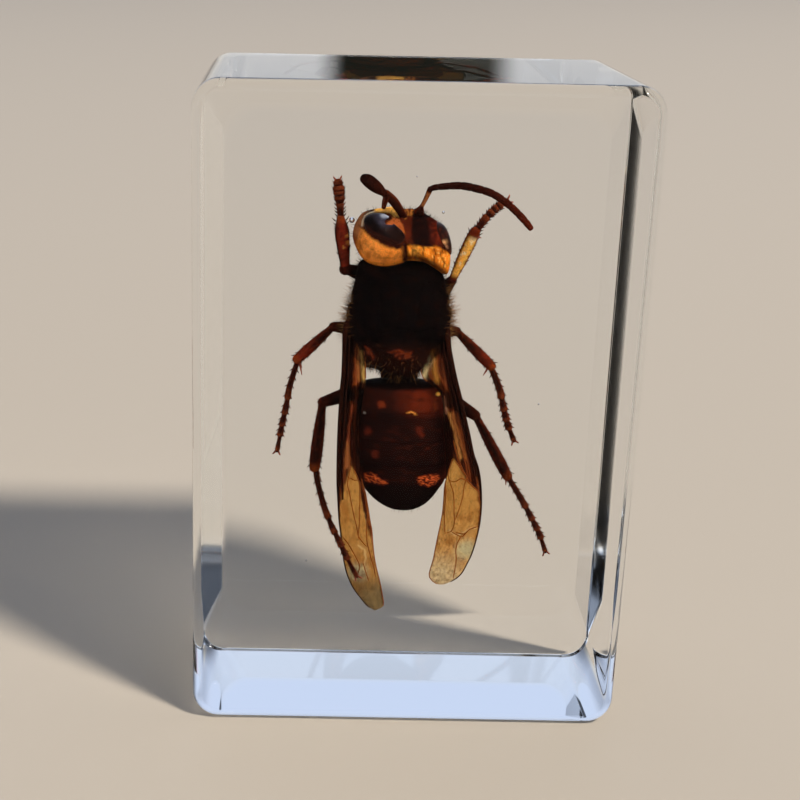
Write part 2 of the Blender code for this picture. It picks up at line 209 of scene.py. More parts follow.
# How far places lie inside a closed loop: 0 outside, 1 inside, and soft millimetres wide between.
def insideLoop(places, loop, soft):
    loop = np.asarray(loop, dtype=float)
    inside = np.zeros(len(places), dtype=bool)
    for (ax, az), (bx, bz) in zip(loop, np.roll(loop, -1, axis=0)):
        crosses = (az > places[:, 1]) != (bz > places[:, 1])
        inside ^= crosses & (places[:, 0] < ax + (places[:, 1] - az) * (bx - ax) / ((bz - az) or 1e-12))
    nearest = nearRun(places, np.vstack([loop, loop[:1]]))
    return smoothStep(-soft, soft, np.where(inside, nearest, -nearest))


# Colours laid one over the other on a base: each layer is a tint and its share at every point.
def painted(count, base, layers):
    colour = np.tile(fromHex(base)[:3], (count, 1))
    for tint, share in layers:
        colour += (np.array(fromHex(tint)[:3]) - colour) * np.clip(share, 0, 1)[:, None]
    return colour


# Places moved a little every way, so that a zone's edge comes out ragged
def ragged(seen, points, size, reach):
    shift = np.array([noise.noise_vector(Vector(point / size)) for point in points])
    return seen + shift[:, :2] * reach


# Soft clouds over the points: 0 outside and 1 inside
def clouds(points, size, low, high, stretch=(1, 1, 1)):
    values = [noise.fractal(Vector(point), 1.0, 2.0, 4) for point in points / size * np.array(stretch)]
    return smoothStep(low, high, np.array(values))


def evenDirections(level):
    work = bmesh.new()
    bmesh.ops.create_icosphere(work, subdivisions=level, radius=1)
    directions = np.array([vertex.co for vertex in work.verts])
    faces = np.array([[vertex.index for vertex in face.verts] for face in work.faces])
    work.free()
    return directions / np.linalg.norm(directions, axis=1)[:, None], faces


def turned(angles):
    return np.array(Euler([math.radians(angle) for angle in angles]).to_matrix())


# Rounded bodies: egg shapes that melt into each other, seen from a middle point

def lumpDistance(points, lumps, melt):
    total = None
    for place, half, turn in lumps:
        local = (points - np.array(place)) @ turn / np.array(half)
        size = np.linalg.norm(local, axis=1)
        steep = np.linalg.norm(local / np.array(half), axis=1)
        distance = size * (size - 1) / np.maximum(steep, 1e-9)
        if total is None:
            total = distance
            continue
        share = np.clip(0.5 + 0.5 * (total - distance) / melt, 0, 1)
        total = total + (distance - total) * share - melt * share * (1 - share)
    return total


# Where points appear from the front, moved along the line of sight to the body's middle depth.
def asSeen(points, plan):
    depth = (points[:, 1] - plan["centre"][1])[:, None]
    return points[:, ::2] - depth * np.array(plan["sight"])


# The skin round the lumps, as a function of the direction, widened to the outline seen in front.
def makeSkin(plan):
    centre = np.array(plan["centre"], dtype=float)
    middle = centre[::2]
    loop = smoothRun(plan["outline"], 720, closed=True) - middle
    loopAngle = np.arctan2(loop[:, 1], loop[:, 0])
    order = np.argsort(loopAngle)
    wantedAngle, wantedReach = loopAngle[order], np.linalg.norm(loop, axis=1)[order]

    def melted(directions):
        low = np.zeros(len(directions))
        high = np.full(len(directions), plan["reach"])
        for _ in range(34):
            half = (low + high) / 2
            outside = lumpDistance(centre + directions * half[:, None], plan["lumps"], plan["melt"]) > 0
            high = np.where(outside, half, high)
            low = np.where(outside, low, half)
        return centre + directions * low[:, None]

    # how far the lumps alone reach at each angle, smoothed
    sample = asSeen(melted(evenDirections(5)[0]), plan) - middle
    bins = 240
    edges = np.linspace(-math.pi, math.pi, bins + 1)
    index = np.clip(np.digitize(np.arctan2(sample[:, 1], sample[:, 0]), edges) - 1, 0, bins - 1)
    reach = np.zeros(bins)
    np.maximum.at(reach, index, np.linalg.norm(sample, axis=1))
    angles = (edges[:-1] + edges[1:]) / 2
    filled = reach > 0
    reach = np.interp(angles, angles[filled], reach[filled], period=2 * math.pi)
    kernel = np.exp(-0.5 * (np.arange(-6, 7) / 2.0) ** 2)
    reach = np.convolve(np.concatenate([reach[-6:], reach, reach[:6]]), kernel / kernel.sum(), "valid")

    def skin(directions):
        points = melted(directions)
        flat = asSeen(points, plan) - middle
        angle = np.arctan2(flat[:, 1], flat[:, 0])
        wanted = np.interp(angle, wantedAngle, wantedReach, period=2 * math.pi)
        grown = wanted / np.interp(angle, angles, reach, period=2 * math.pi)
        points[:, ::2] += flat * (grown[:, None] - 1)
        flat = asSeen(points, plan) - middle          # nothing may stand past the outline
        inside = wanted / np.linalg.norm(flat, axis=1)
        points[:, ::2] += flat * (np.minimum(inside, 1)[:, None] - 1)
        return points

    return skin


def skinNormals(points, faces):
    normals = np.zeros_like(points)
    a, b, c = (points[faces[:, k]] for k in range(3))
    across = np.cross(b - a, c - a)
    for k in range(3):
        np.add.at(normals, faces[:, k], across)
    return normals / np.maximum(np.linalg.norm(normals, axis=1), 1e-12)[:, None]


# The directions in which the skin's front appears at these places.
def frontDirections(skin, plan, places):
    directions, faces = evenDirections(6)
    points = skin(directions)
    front = skinNormals(points, faces)[:, 1] < -0.05
    directions, seen = directions[front], asSeen(points[front], plan)
    found = []
    for place in np.asarray(places, dtype=float):
        gap = np.linalg.norm(seen - place, axis=1)
        nearest = np.argpartition(gap, 5)[:5]
        found.append((directions[nearest] / (gap[nearest] + 0.02)[:, None]).sum(axis=0))
    found = np.array(found)
    return found / np.linalg.norm(found, axis=1)[:, None]


# Faces between rings of count points each, numbered from 0.
def ringFaces(rings, count):
    return [(a + k, a + count + k, a + count + (k + 1) % count, a + (k + 1) % count)
            for a in range(0, (rings - 1) * count, count) for k in range(count)]


# Faces of a shell of rings closed by point 0 before them and one point after them.
def shellFaces(rings, count, reverse):
    faces = []
    last = 1 + (rings - 1) * count
    for k in range(count):
        n = (k + 1) % count
        faces.append((0, 1 + n, 1 + k) if reverse else (0, 1 + k, 1 + n))
        for a in range(1, last, count):
            b = a + count
            faces.append((a + k, a + n, b + n, b + k) if reverse else (a + k, b + k, b + n, a + n))
        faces.append((last + k, last + n, last + count) if reverse else (last + k, last + count, last + n))
    return faces


# Turn a closed shell's faces outwards.
def outwardFaces(points, faces):
    volume = 0.0
    for face in faces:
        a = points[face[0]]
        for k in range(1, len(face) - 1):
            volume += np.dot(a, np.cross(points[face[k]], points[face[k + 1]]))
    return faces if volume > 0 else [tuple(reversed(face)) for face in faces]


# A low dome over a loop of directions on a skin, closed underneath.
def domePatch(skin, middle, rim, rise, rings=18, sink=0.12):
    middle = middle / np.linalg.norm(middle)
    top = skin(middle[None])[0]
    outward = top - skin(-middle[None])[0]
    outward /= np.linalg.norm(outward)
    points = [top + outward * rise]
    for ring in range(1, rings + 1):
        share = math.sin(0.5 * math.pi * ring / rings)
        directions = middle + (rim - middle) * share
        directions /= np.linalg.norm(directions, axis=1)[:, None]
        away = directions + outward * 0.6
        away /= np.linalg.norm(away, axis=1)[:, None]
        points.extend(skin(directions) + away * rise * math.sqrt(max(0.0, 1 - share ** 2.6)))
    under = skin(rim)
    inward = skin(middle[None])[0] - outward * 1.2 - under
    inward /= np.linalg.norm(inward, axis=1)[:, None]
    points.extend(under + inward * sink)
    points.append(top - outward * 0.5)
    points = np.array(points)
    return points, outwardFaces(points, shellFaces(rings + 1, len(rim), False))


# Limbs: tubes along a run of (x, y, z, radius), with rounded ends. Beside the shell they give how far
# along each point is, which way the limb runs there and how near it is to the sides, seen in front.
def limbShell(run, sides, flat, caps=3):
    places, radii = run[:, :3], run[:, 3]
    tangents = np.gradient(places, axis=0)
    tangents /= np.linalg.norm(tangents, axis=1)[:, None]

    def cap(end, way, number):
        angle = math.pi / 2 * number / (caps + 0.5)
        place = places[end] + tangents[end] * radii[end] * math.sin(angle) * 0.9 * way
        return place, tangents[end], radii[end] * math.cos(angle), max(way, 0.0)

    rings = [cap(0, -1.0, number) for number in range(caps, 0, -1)]
    rings += zip(places, tangents, radii, (k / (len(run) - 1) for k in range(len(run))))
    rings += [cap(-1, 1.0, number) for number in range(1, caps + 1)]
    turn = np.linspace(0, 2 * math.pi, sides, endpoint=False)
    side = np.array((0.0, 1.0, 0.0))
    points = [rings[0][0] - rings[0][1] * radii[0] * 0.04]
    for place, tangent, radius, _ in rings:
        side = side - tangent * (side @ tangent)
        side /= max(np.linalg.norm(side), 1e-9)
        points.extend(place + np.outer(np.cos(turn) * radius * flat, side)
                      + np.outer(np.sin(turn) * radius, np.cross(tangent, side)))
    points.append(rings[-1][0] + rings[-1][1] * radii[-1] * 0.04)
    shares = np.concatenate([[0.0], np.repeat([ring[3] for ring in rings], sides), [1.0]])
    ways = np.array([ring[1] for ring in rings])
    alongs = np.vstack([ways[:1], np.repeat(ways, sides, axis=0), ways[-1:]])
    edges = np.concatenate([[0.5], np.tile(np.abs(np.sin(turn)), len(rings)), [0.5]])
    return np.array(points), shellFaces(len(rings), sides, True), shares, alongs, edges


# Shells gathered into one piece

def newBundle():
    return {"points": [], "faces": [], "tone": [], "hairiness": [], "comb": [], "count": 0}


def addLimb(bundle, run, sides, paint, flat=1.0, hair=0.0):
    points, faces, shares, alongs, edges = limbShell(run, sides, flat)
    bundle["faces"].extend(tuple(bundle["count"] + index for index in face) for face in faces)
    bundle["count"] += len(points)
    for key, values in {"points": points, "tone": painted(len(points), *paint(points, shares, edges)),
                        "hairiness": np.full(len(points), hair), "comb": alongs}.items():
        bundle[key].append(values)


def bundlePiece(name, bundle, material):
    points, tone, hairiness, comb = (
        np.concatenate(bundle[key]) for key in ("points", "tone", "hairiness", "comb"))
    return hornetPiece(meshPiece(name, points, bundle["faces"], material, tone,
                                 {"hairiness": hairiness, "comb": comb}))


# Geometry Nodes that several pieces share

def newTree(name, sockets):
    tree = bpy.data.node_groups.new(name, "GeometryNodeTree")
    tree.interface.new_socket("Geometry", in_out="INPUT", socket_type="NodeSocketGeometry")
    for label, kind in {**sockets, "Material": "Material"}.items():
        tree.interface.new_socket(label, in_out="INPUT", socket_type="NodeSocket" + kind)
    tree.interface.new_socket("Geometry", in_out="OUTPUT", socket_type="NodeSocketGeometry")
    return tree, addNode(tree, "NodeGroupInput").outputs


def closeTree(tree, geometry, material):
    real = addNode(tree, "GeometryNodeRealizeInstances", inputs={0: geometry})
    dressed = addNode(tree, "GeometryNodeSetMaterial", inputs={
        "Geometry": real.outputs[0], "Material": material})
    addNode(tree, "NodeGroupOutput", inputs={0: dressed.outputs[0]})
    return tree


# Runs the tree on the piece and keeps the result as a plain mesh.
def applyTree(piece, tree, inputs):
    step = piece.modifiers.new(tree.name, "NODES")
    step.node_group = tree
    names = {item.name: item.identifier for item in tree.interface.items_tree
             if item.item_type == "SOCKET" and item.in_out == "INPUT"}
    for label, value in inputs.items():
        step[names[label]] = value
    bpy.context.view_layer.update()
    evaluated = piece.evaluated_get(bpy.context.evaluated_depsgraph_get())
    mesh = bpy.data.meshes.new_from_object(evaluated)
    piece.modifiers.clear()
    piece.data = mesh
    return hornetPiece(piece)


def namedValue(tree, name, kind="FLOAT"):
    return addNode(tree, "GeometryNodeInputNamedAttribute", {"data_type": kind},
                   {"Name": name}).outputs["Attribute"]


# Hairs grow where the named value is above 0, and lean along the comb value.
def bristleTree(place):
    tree, given = newTree("bristles by " + place, {
        "Density": "Float", "Length": "Float", "Length spread": "Float", "Radius": "Float",
        "Lean": "Float", "Lean spread": "Float", "Bend": "Float", "Seed": "Int"})

    def drawn(low, high, seed, kind="FLOAT", output=1):
        return addNode(tree, "FunctionNodeRandomValue", {"data_type": kind},
                       {"Min": low, "Max": high, "Seed": seed}).outputs[output]

    def vectors(operation, first, second, socket=1):
        return addNode(tree, "ShaderNodeVectorMath", {"operation": operation},
                       {0: first, socket: second}).outputs[0]

    def vector(**parts):
        return addNode(tree, "ShaderNodeCombineXYZ", inputs=parts).outputs[0]

    scatter = addNode(tree, "GeometryNodeDistributePointsOnFaces", inputs={
        "Mesh": given["Geometry"], "Seed": given["Seed"],
        "Density": maths(tree, "MULTIPLY", given["Density"], namedValue(tree, place))}).outputs
    stray = vectors("SCALE", drawn((-1, -1, -1), (1, 1, 1), given["Seed"], "FLOAT_VECTOR", 0),
                    given["Lean spread"], "Scale")
    combed = vectors("SCALE", namedValue(tree, "comb", "FLOAT_VECTOR"), given["Lean"], "Scale")
    facing = addNode(tree, "FunctionNodeAlignRotationToVector", {"axis": "Z"}, {
        "Vector": vectors("ADD", scatter["Normal"], vectors("ADD", stray, combed))})
    spun = addNode(tree, "FunctionNodeRotateRotation", {"rotation_space": "LOCAL"}, {
        0: facing.outputs[0], 1: vector(Z=drawn(0.0, 6.283, 7))})      # any way round its own axis
    shortest = maths(tree, "SUBTRACT", 1.0, given["Length spread"])
    reach = maths(tree, "MULTIPLY", given["Length"], drawn(shortest, 1.0, 3))
    hair = addNode(tree, "GeometryNodeMeshCone", inputs={
        "Vertices": 3, "Side Segments": 3, "Radius Top": 0.12, "Radius Bottom": 1.0, "Depth": 1.0})
    onHair = addNode(tree, "GeometryNodeInputPosition").outputs[0]
    height = addNode(tree, "ShaderNodeSeparateXYZ", inputs={0: onHair}).outputs["Z"]
    sway = maths(tree, "MULTIPLY", maths(tree, "POWER", height, 2.0), given["Bend"])
    bent = addNode(tree, "GeometryNodeSetPosition", inputs={
        "Geometry": hair.outputs["Mesh"], "Offset": vector(X=sway)})
    planted = addNode(tree, "GeometryNodeInstanceOnPoints", inputs={
        "Points": scatter["Points"], "Instance": bent.outputs[0], "Rotation": spun.outputs[0],
        "Scale": vector(X=given["Radius"], Y=given["Radius"], Z=reach)})
    return closeTree(tree, planted.outputs[0], given["Material"])


# A tube along the piece's own edges, pinched at each joint. Its width is the radius value.
def ringedTubeTree():
    tree, given = newTree("ringed tube", {
        "Joints": "Float", "Pinch": "Float", "Pinch width": "Float", "Steps": "Int", "Sides": "Int"})
    path = addNode(tree, "GeometryNodeMeshToCurve", inputs={"Mesh": given["Geometry"]})
    dense = addNode(tree, "GeometryNodeResampleCurve", inputs={
        "Curve": path.outputs[0], "Count": given["Steps"]})
    along = addNode(tree, "GeometryNodeSplineParameter").outputs["Factor"]
    toJoint = maths(tree, "PINGPONG", maths(tree, "MULTIPLY", along, given["Joints"]), 0.5)
    least = maths(tree, "SUBTRACT", 1.0, given["Pinch"])
    pinch = ranged(tree, toJoint, 0.0, given["Pinch width"], least, 1.0, smooth=True)
    radius = maths(tree, "MULTIPLY", namedValue(tree, "radius"), pinch)
    ring = addNode(tree, "GeometryNodeCurvePrimitiveCircle", inputs={
        "Resolution": given["Sides"], "Radius": 1.0})
    sized = addNode(tree, "GeometryNodeSetCurveRadius", inputs={
        "Curve": dense.outputs[0], "Radius": radius})
    tube = addNode(tree, "GeometryNodeCurveToMesh", inputs={
        "Curve": sized.outputs[0], "Profile Curve": ring.outputs["Curve"], "Scale": radius,
        "Fill Caps": True})
    smooth = addNode(tree, "GeometryNodeSetShadeSmooth", inputs={"Geometry": tube.outputs[0]})
    return closeTree(tree, smooth.outputs[0], given["Material"])


# Runs of (x, y, z, radius) made into tubes by the tree, from the first tone at the root to the second.
def tubePiece(name, runs, tree, inputs, tones=("#ffffff", "#ffffff")):
    points, edges = [], []
    for run in runs:
        edges.extend((len(points) + k, len(points) + k + 1) for k in range(len(run) - 1))
        points.extend(run)
    points = np.array(points)
    share = np.concatenate([np.linspace(0, 1, len(run)) ** 3 for run in runs])
    tone = painted(len(points), tones[0], ((tones[1], share),))
    piece = meshPiece(name, points[:, :3], [], None, tone, {"radius": points[:, 3] * mm}, edges)
    return applyTree(piece, tree, inputs)


# Bristles on copies of the pieces that carry hairiness and comb values.
def bristlePiece(name, look, tree):
    work = bmesh.new()
    for skin in look["skins"]:
        work.from_mesh(skin.data)
    mesh = bpy.data.meshes.new(name)
    work.to_mesh(mesh)
    work.free()
    piece = applyTree(newPiece(name, mesh), tree, {
        "Density": look["perSquareMm"] / mm ** 2, "Length": look["length"] * mm,
        "Length spread": look["lengthSpread"], "Radius": look["radius"] * mm, "Lean": look["lean"],
        "Lean spread": look["leanSpread"], "Bend": look["bend"], "Seed": look["seed"],
        "Material": look["material"]})
    print(name, len(piece.data.polygons), "faces")


# Camera

cameraPlan = {
    "place": (-11.08 * mm, -138.04 * mm, 73.45 * mm),
    # degrees about x, y and z
    "turn": (71.774, -1.133, 0.053), "lens": 67.18, "shiftX": 0.125,
}


def makeCamera(plan):
    data = bpy.data.cameras.new("camera")
    data.lens = plan["lens"]
    data.sensor_width = 36
    data.sensor_fit = "HORIZONTAL"
    data.shift_x = plan["shiftX"]
    data.clip_start = 1 * mm
    camera = newPiece("camera", data)
    camera.location = plan["place"]
    camera.rotation_euler = [math.radians(angle) for angle in plan["turn"]]
    scene.camera = camera
    print("camera made")


# Floor and light

stagePlan = {
    # millimetres, with air under the block, so that its base mirrors inside
    "floorSize": 8000, "floorGap": 0.05, "floorColour": "#9f988d",
    # the studio from its skirting to its ceiling: height, colour
    "skyColours": ((0.50, "#d2ccc4"), (0.515, "#f2efea"), (0.555, "#eef0f4"), (0.61, "#cddaf4"),
        (0.75, "#cddcf8"), (0.895, "#d3dff2"), (0.908, "#e6d3ea"), (0.920, "#eadff0"),
        (0.930, "#efe8dc"), (0.938, "#cfe6e4"), (0.95, "#c9cfe2"), (1.00, "#c4cad6")),
    # the sky's strength: on the camera's side, added by the lit wall low behind the camera,
    # elsewhere, and its share at the left and right ends
    "frontSky": 0.22, "frontWall": 3.2, "skyStrength": 1.0, "sideSky": 0.25,
    # a dark post far behind, which only the block's top mirrors: where it is sideways and up
    "postColour": "#20241f", "postMiddle": 0.077, "postHalf": (0.045, 0.068), "postHeight": (0.12, 0.17),
    # the lamp, in metres and watts
    "keySize": 0.8, "keyPlace": (2.65, -2.28, 4.25), "keyPower": 490, "keyColour": "#fff4e6",
}


def makeStage(plan):
    material, tree = newMaterial("plain pale floor")
    addSurface(tree, {"Base Color": fromHex(plan["floorColour"]), "Roughness": 0.8})
    half = plan["floorSize"] / 2
    corners = [(x * half, y * half, 0) for x, y in ((-1, -1), (1, -1), (1, 1), (-1, 1))]
    floor = meshPiece("floor", corners, [(0, 1, 2, 3)], material)
    floor.location.z = -plan["floorGap"] * mm

    world = bpy.data.worlds.new("studio")
    scene.world = world
    world.use_nodes = True
    tree = world.node_tree
    tree.nodes.clear()
    towards = addNode(tree, "ShaderNodeTexCoord").outputs["Generated"]
    x, y, z = addNode(tree, "ShaderNodeSeparateXYZ", inputs={0: towards}).outputs
    ramp = addNode(tree, "ShaderNodeValToRGB", inputs={0: ranged(tree, z, -1.0, 1.0)})
    steps = ramp.color_ramp.elements
    for step, (level, colour) in enumerate(plan["skyColours"]):
        element = steps[step] if step < 2 else steps.new(level)
        element.position = level
        element.color = fromHex(colour)

    def fading(value, limits, first=1.0, last=0.0):
        return ranged(tree, value, *limits, first, last, smooth=True)

    aside = maths(tree, "ABSOLUTE", maths(tree, "SUBTRACT", x, plan["postMiddle"]))
    post = maths(tree, "MULTIPLY", fading(aside, plan["postHalf"]), fading(z, plan["postHeight"]))
    post = maths(tree, "MULTIPLY", post, maths(tree, "GREATER_THAN", y, 0.0))
    studio = mixed(tree, post, ramp.outputs[0], fromHex(plan["postColour"]))
    strength = maths(tree, "MULTIPLY", fading(y, (-0.5, 0.2), plan["frontSky"], plan["skyStrength"]),
                     fading(maths(tree, "ABSOLUTE", x), (0.3, 0.75), 1.0, plan["sideSky"]))
    strength = maths(tree, "MULTIPLY_ADD", fading(y, (-0.7, -0.2), plan["frontWall"]),
                     fading(z, (0.15, 0.5)), strength)
    sky = addNode(tree, "ShaderNodeBackground", inputs={"Color": studio, "Strength": strength})
    addNode(tree, "ShaderNodeOutputWorld", inputs={"Surface": sky.outputs[0]})

    lamp = bpy.data.lights.new("key", "AREA")
    lamp.shape = "DISK"
    lamp.size = plan["keySize"]
    lamp.energy = plan["keyPower"]
    lamp.color = fromHex(plan["keyColour"])[:3]
    key = newPiece("key", lamp)
    key.location = plan["keyPlace"]
    key.rotation_euler = (Vector((0, 0, 0.03)) - key.location).to_track_quat("-Z", "Y").to_euler()
    print("floor and light made")


# The resin block

blockPlan = {
    # millimetres
    "width": 40, "depth": 25, "height": 60, "frontEdge": 1.1, "frontSteps": 12, "corner": 2.5,
    "cornerGrowth": 0.8, "cornerSteps": 12,
    # each side's sanded chamfer at the back: how far it stands in, how far forward it
    # reaches, and how softly it begins and ends
    "chamfers": {"right": (1.5, 1.37, 0.15), "top": (4.2, 1.5, 0.5), "left": (2.2, 1.9, 0.3),
        "bottom": (3.9, 1.4, 0.3)},
    "softSteps": 12,
    # how rough the chamfers are
    "sanded": 0.06,
    # x, y, z and radius
    "bubbles": ((-5.98, 0.0, 46.74, 0.27), (2.3, 0.3, 47.57, 0.12), (-0.3, -1.0, 50.9, 0.07),
        (-9.4, 2.0, 12.6, 0.1), (11.8, -3.0, 30.2, 0.08)),
    "ior": 1.54, "mirror": 0.08,
    # the resin's own tint, per metre
    "absorbed": "#d8e2e4", "absorption": 6.0,
}


# Cast acrylic or polyester resin, sanded and polished: quite clear, so that the floor shows through
# it. Its mirror shine is held low, as behind a polarising filter, and keeps the hornet dark.
def resinMaterial(plan):
    material, tree = newMaterial("cast clear resin, polished")
    mirror = plan["mirror"]
    inside = addNode(tree, "ShaderNodeVolumeAbsorption", inputs={
        "Color": fromHex(plan["absorbed"]), "Density": plan["absorption"]})
    addSurface(tree, {
        "Base Color": (1, 1, 1, 1), "IOR": plan["ior"], "Specular Tint": (mirror, mirror, mirror, 1),
        "Roughness": maths(tree, "MULTIPLY", meshValue(tree, "sanded", "Fac"), plan["sanded"]),
        "Transmission Weight": 1.0}, Volume=inside.outputs[0])
    return material


# A chamfer's section from the wall to the back face, as (distance from the back, inset) pairs
def chamferSection(inset, reach, soft, steps):
    wall, face = np.array((reach, 0.0)), np.array((0.0, inset))
    slope = (face - wall) / np.linalg.norm(face - wall)
    t = np.linspace(0, 1, steps + 1)[:, None]

    def rounded(a, b, c):
        return a * (1 - t) ** 2 + 2 * b * t * (1 - t) + c * t ** 2

    return np.vstack([rounded(wall + (soft, 0), wall, wall + slope * soft),
                      rounded(face - slope * soft, face, face + (0, soft))])


# Rings of points from the front face to the back face: the rounded front edge, then the chamfers
def blockRings(plan):
    halfWidth, depth, height, steps = plan["width"] / 2, plan["depth"], plan["height"], plan["frontSteps"]
    angles = np.linspace(0, math.pi / 2, steps + 1)
    front = plan["frontEdge"] * (1 - np.stack([np.cos(angles), np.sin(angles)], axis=1))
    front[:, 0] = depth - front[:, 0]
    sections = {side: np.vstack([front, chamferSection(*chamfer, plan["softSteps"])])
                for side, chamfer in plan["chamfers"].items()}
    count = len(sections["right"])
    rings = []
    for row in range(count):
        at = {side: section[row] for side, section in sections.items()}
        share = max(0.0, (row - steps) / (count - 1 - steps))
        edge = at["right"][1] if row <= steps else 0.0
        radius = plan["corner"] - edge + plan["cornerGrowth"] * share
        ring = []
        for number, (sideways, upright) in enumerate((("right", "top"), ("left", "top"),
                                                      ("left", "bottom"), ("right", "bottom"))):
            x = (halfWidth - at[sideways][1] - radius) * (1 if sideways == "right" else -1)
            z = height - at["top"][1] - radius if upright == "top" else at["bottom"][1] + radius
            for step in range(plan["cornerSteps"] + 1):
                angle = math.radians(90 * (number + step / plan["cornerSteps"]))
                across = math.cos(angle) ** 2
                back = at[sideways][0] * across + at[upright][0] * (1 - across)
                ring.append((x + radius * math.cos(angle), depth / 2 - back, z + radius * math.sin(angle)))
        rings.append(ring)
    return np.array(rings)


def makeBlock(plan):
    points = blockRings(plan)
    rings, around = points.shape[:2]
    normals = np.cross(np.roll(points, -1, axis=1) - np.roll(points, 1, axis=1), np.gradient(points, axis=0))
    normals /= lengths(normals)[..., None]
    normals *= np.sign(normals[plan["frontSteps"], 0, 0])
    normals[0], normals[-1] = (0, -1, 0), (0, 1, 0)
    points, normals = points.reshape(-1, 3), normals.reshape(-1, 3)
    faces = [tuple(range(around)), tuple(reversed(range(len(points) - around, len(points))))]
    faces = outwardFaces(points - points.mean(axis=0), faces + ringFaces(rings, around))
    sanded = np.repeat([0.0, 0.0, *(float(row > plan["frontSteps"]) for row in range(rings - 1))],
                       [1, 1] + [around] * (rings - 1))
    directions, sphere = evenDirections(4)
    for *place, radius in plan["bubbles"]:      # air: a hollow whose wall faces inwards
        faces += [tuple(len(points) + index for index in reversed(face)) for face in sphere.tolist()]
        points = np.vstack([points, np.array(place) + directions * radius])
        normals = np.vstack([normals, -directions])
        sanded = np.append(sanded, np.zeros(len(sphere)))
    block = meshPiece("resinBlock", points, faces, resinMaterial(plan))
    block.data.normals_split_custom_set_from_vertices(normals.tolist())
    layer = block.data.attributes.new("sanded", "FLOAT", "FACE")
    layer.data.foreach_set("value", sanded.astype(np.float32))
    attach(block, "root")
    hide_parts("resin_front_half", "resin_back_half")
    print("block made")


# Insect cuticle: hard, dried chitin with fine pits. Inside resin it has almost no shine of its own.
# Each piece brings its own colour, and the material stains and grains it.

cuticleLook = {
    # sizes in millimetres across
    "stain": "#160806", "stainShare": 0.55, "mottle": 0.7, "grain": 0.09, "grainDepth": (0.62, 1.3),
    "pits": 0.13, "pitDepth": 0.3, "roughness": (0.26, 0.45), "ior": 1.02, "shine": 0.1,
}


def cuticleMaterial(look):
    material, tree = newMaterial("tanned insect cuticle, dried")
    where = objectPlace(tree)
    mottle = cloudNoise(tree, where, look["mottle"], 6.0, 0.62)
    fine = cloudNoise(tree, where, look["grain"], 4.0, 0.6)
    body = mixed(tree, ranged(tree, mottle, 0.5, 0.72, 0.0, look["stainShare"]),
                 meshValue(tree, "tone", "Color"), fromHex(look["stain"]))
    pits = ranged(tree, cells(tree, where, look["pits"], "F1"), 0.0, 0.5)
    addSurface(tree, {
        "Base Color": brightened(tree, body, ranged(tree, fine, 0.3, 0.72, *look["grainDepth"])),
        "Roughness": ranged(tree, fine, 0.0, 1.0, *look["roughness"]), "IOR": look["ior"],
        "Specular IOR Level": look["shine"], "Normal": relief(tree, pits, look["pitDepth"], 0.02)})
    return material


# A compound eye: thousands of tiny lenses, brown-black, drawn twice as wide as real ones, so that they
# show. The left eye's tone brings a painted highlight and a bluish painted reflection along its upper edge.
def eyeMaterial():
    material, tree = newMaterial("compound eye, domed lenses")
    where = objectPlace(tree)
    patch = ranged(tree, cloudNoise(tree, where, 1.1), 0.4, 0.7, 0.0, 0.7)
    addSurface(tree, {
        "Base Color": mixed(tree, patch, meshValue(tree, "tone", "Color"), fromHex("#2a120c")),
        "Roughness": 0.3, "IOR": 1.1,
        "Normal": relief(tree, cells(tree, where, 0.05, "DISTANCE_TO_EDGE"), 0.1, 0.01)})
    return material


# Bristles: thin tapering chitin, the root colour mixed in soft clumps with a lighter tip colour
def bristleMaterial(name, root, tip):
    material, tree = newMaterial(name)
    clumps = cloudNoise(tree, objectPlace(tree), 0.5)
    addSurface(tree, {"Base Color": mixed(tree, clumps, fromHex(root), fromHex(tip)),
                      "Roughness": 0.45, "IOR": 1.05, "Specular IOR Level": 0.5})
    return material


# Wing membrane: two clear skins pressed together, amber by nature, nearly as dense as the resin
def membraneMaterial():
    material, tree = newMaterial("wing membrane, amber and clear")
    stretched = addNode(tree, "ShaderNodeMapping", inputs={
        "Vector": objectPlace(tree), "Scale": (1, 1, 0.2)}).outputs[0]
    grain = cloudNoise(tree, stretched, 0.16, 5.0)
    shade = ranged(tree, grain, 0.3, 0.7, 0.84, 1.1)
    addSurface(tree, {
        "Base Color": brightened(tree, meshValue(tree, "tone", "Color"), shade),
        "Roughness": 0.02, "IOR": 1.02, "Transmission Weight": 0.85,
        "Normal": relief(tree, grain, 0.15, 0.02)})
    return material


# The head

headTurn = turned((32, 5, 18))


def onHead(place):
    return tuple(headTurn @ np.array(place) + np.array((-1.4, 0.1, 45.1)))


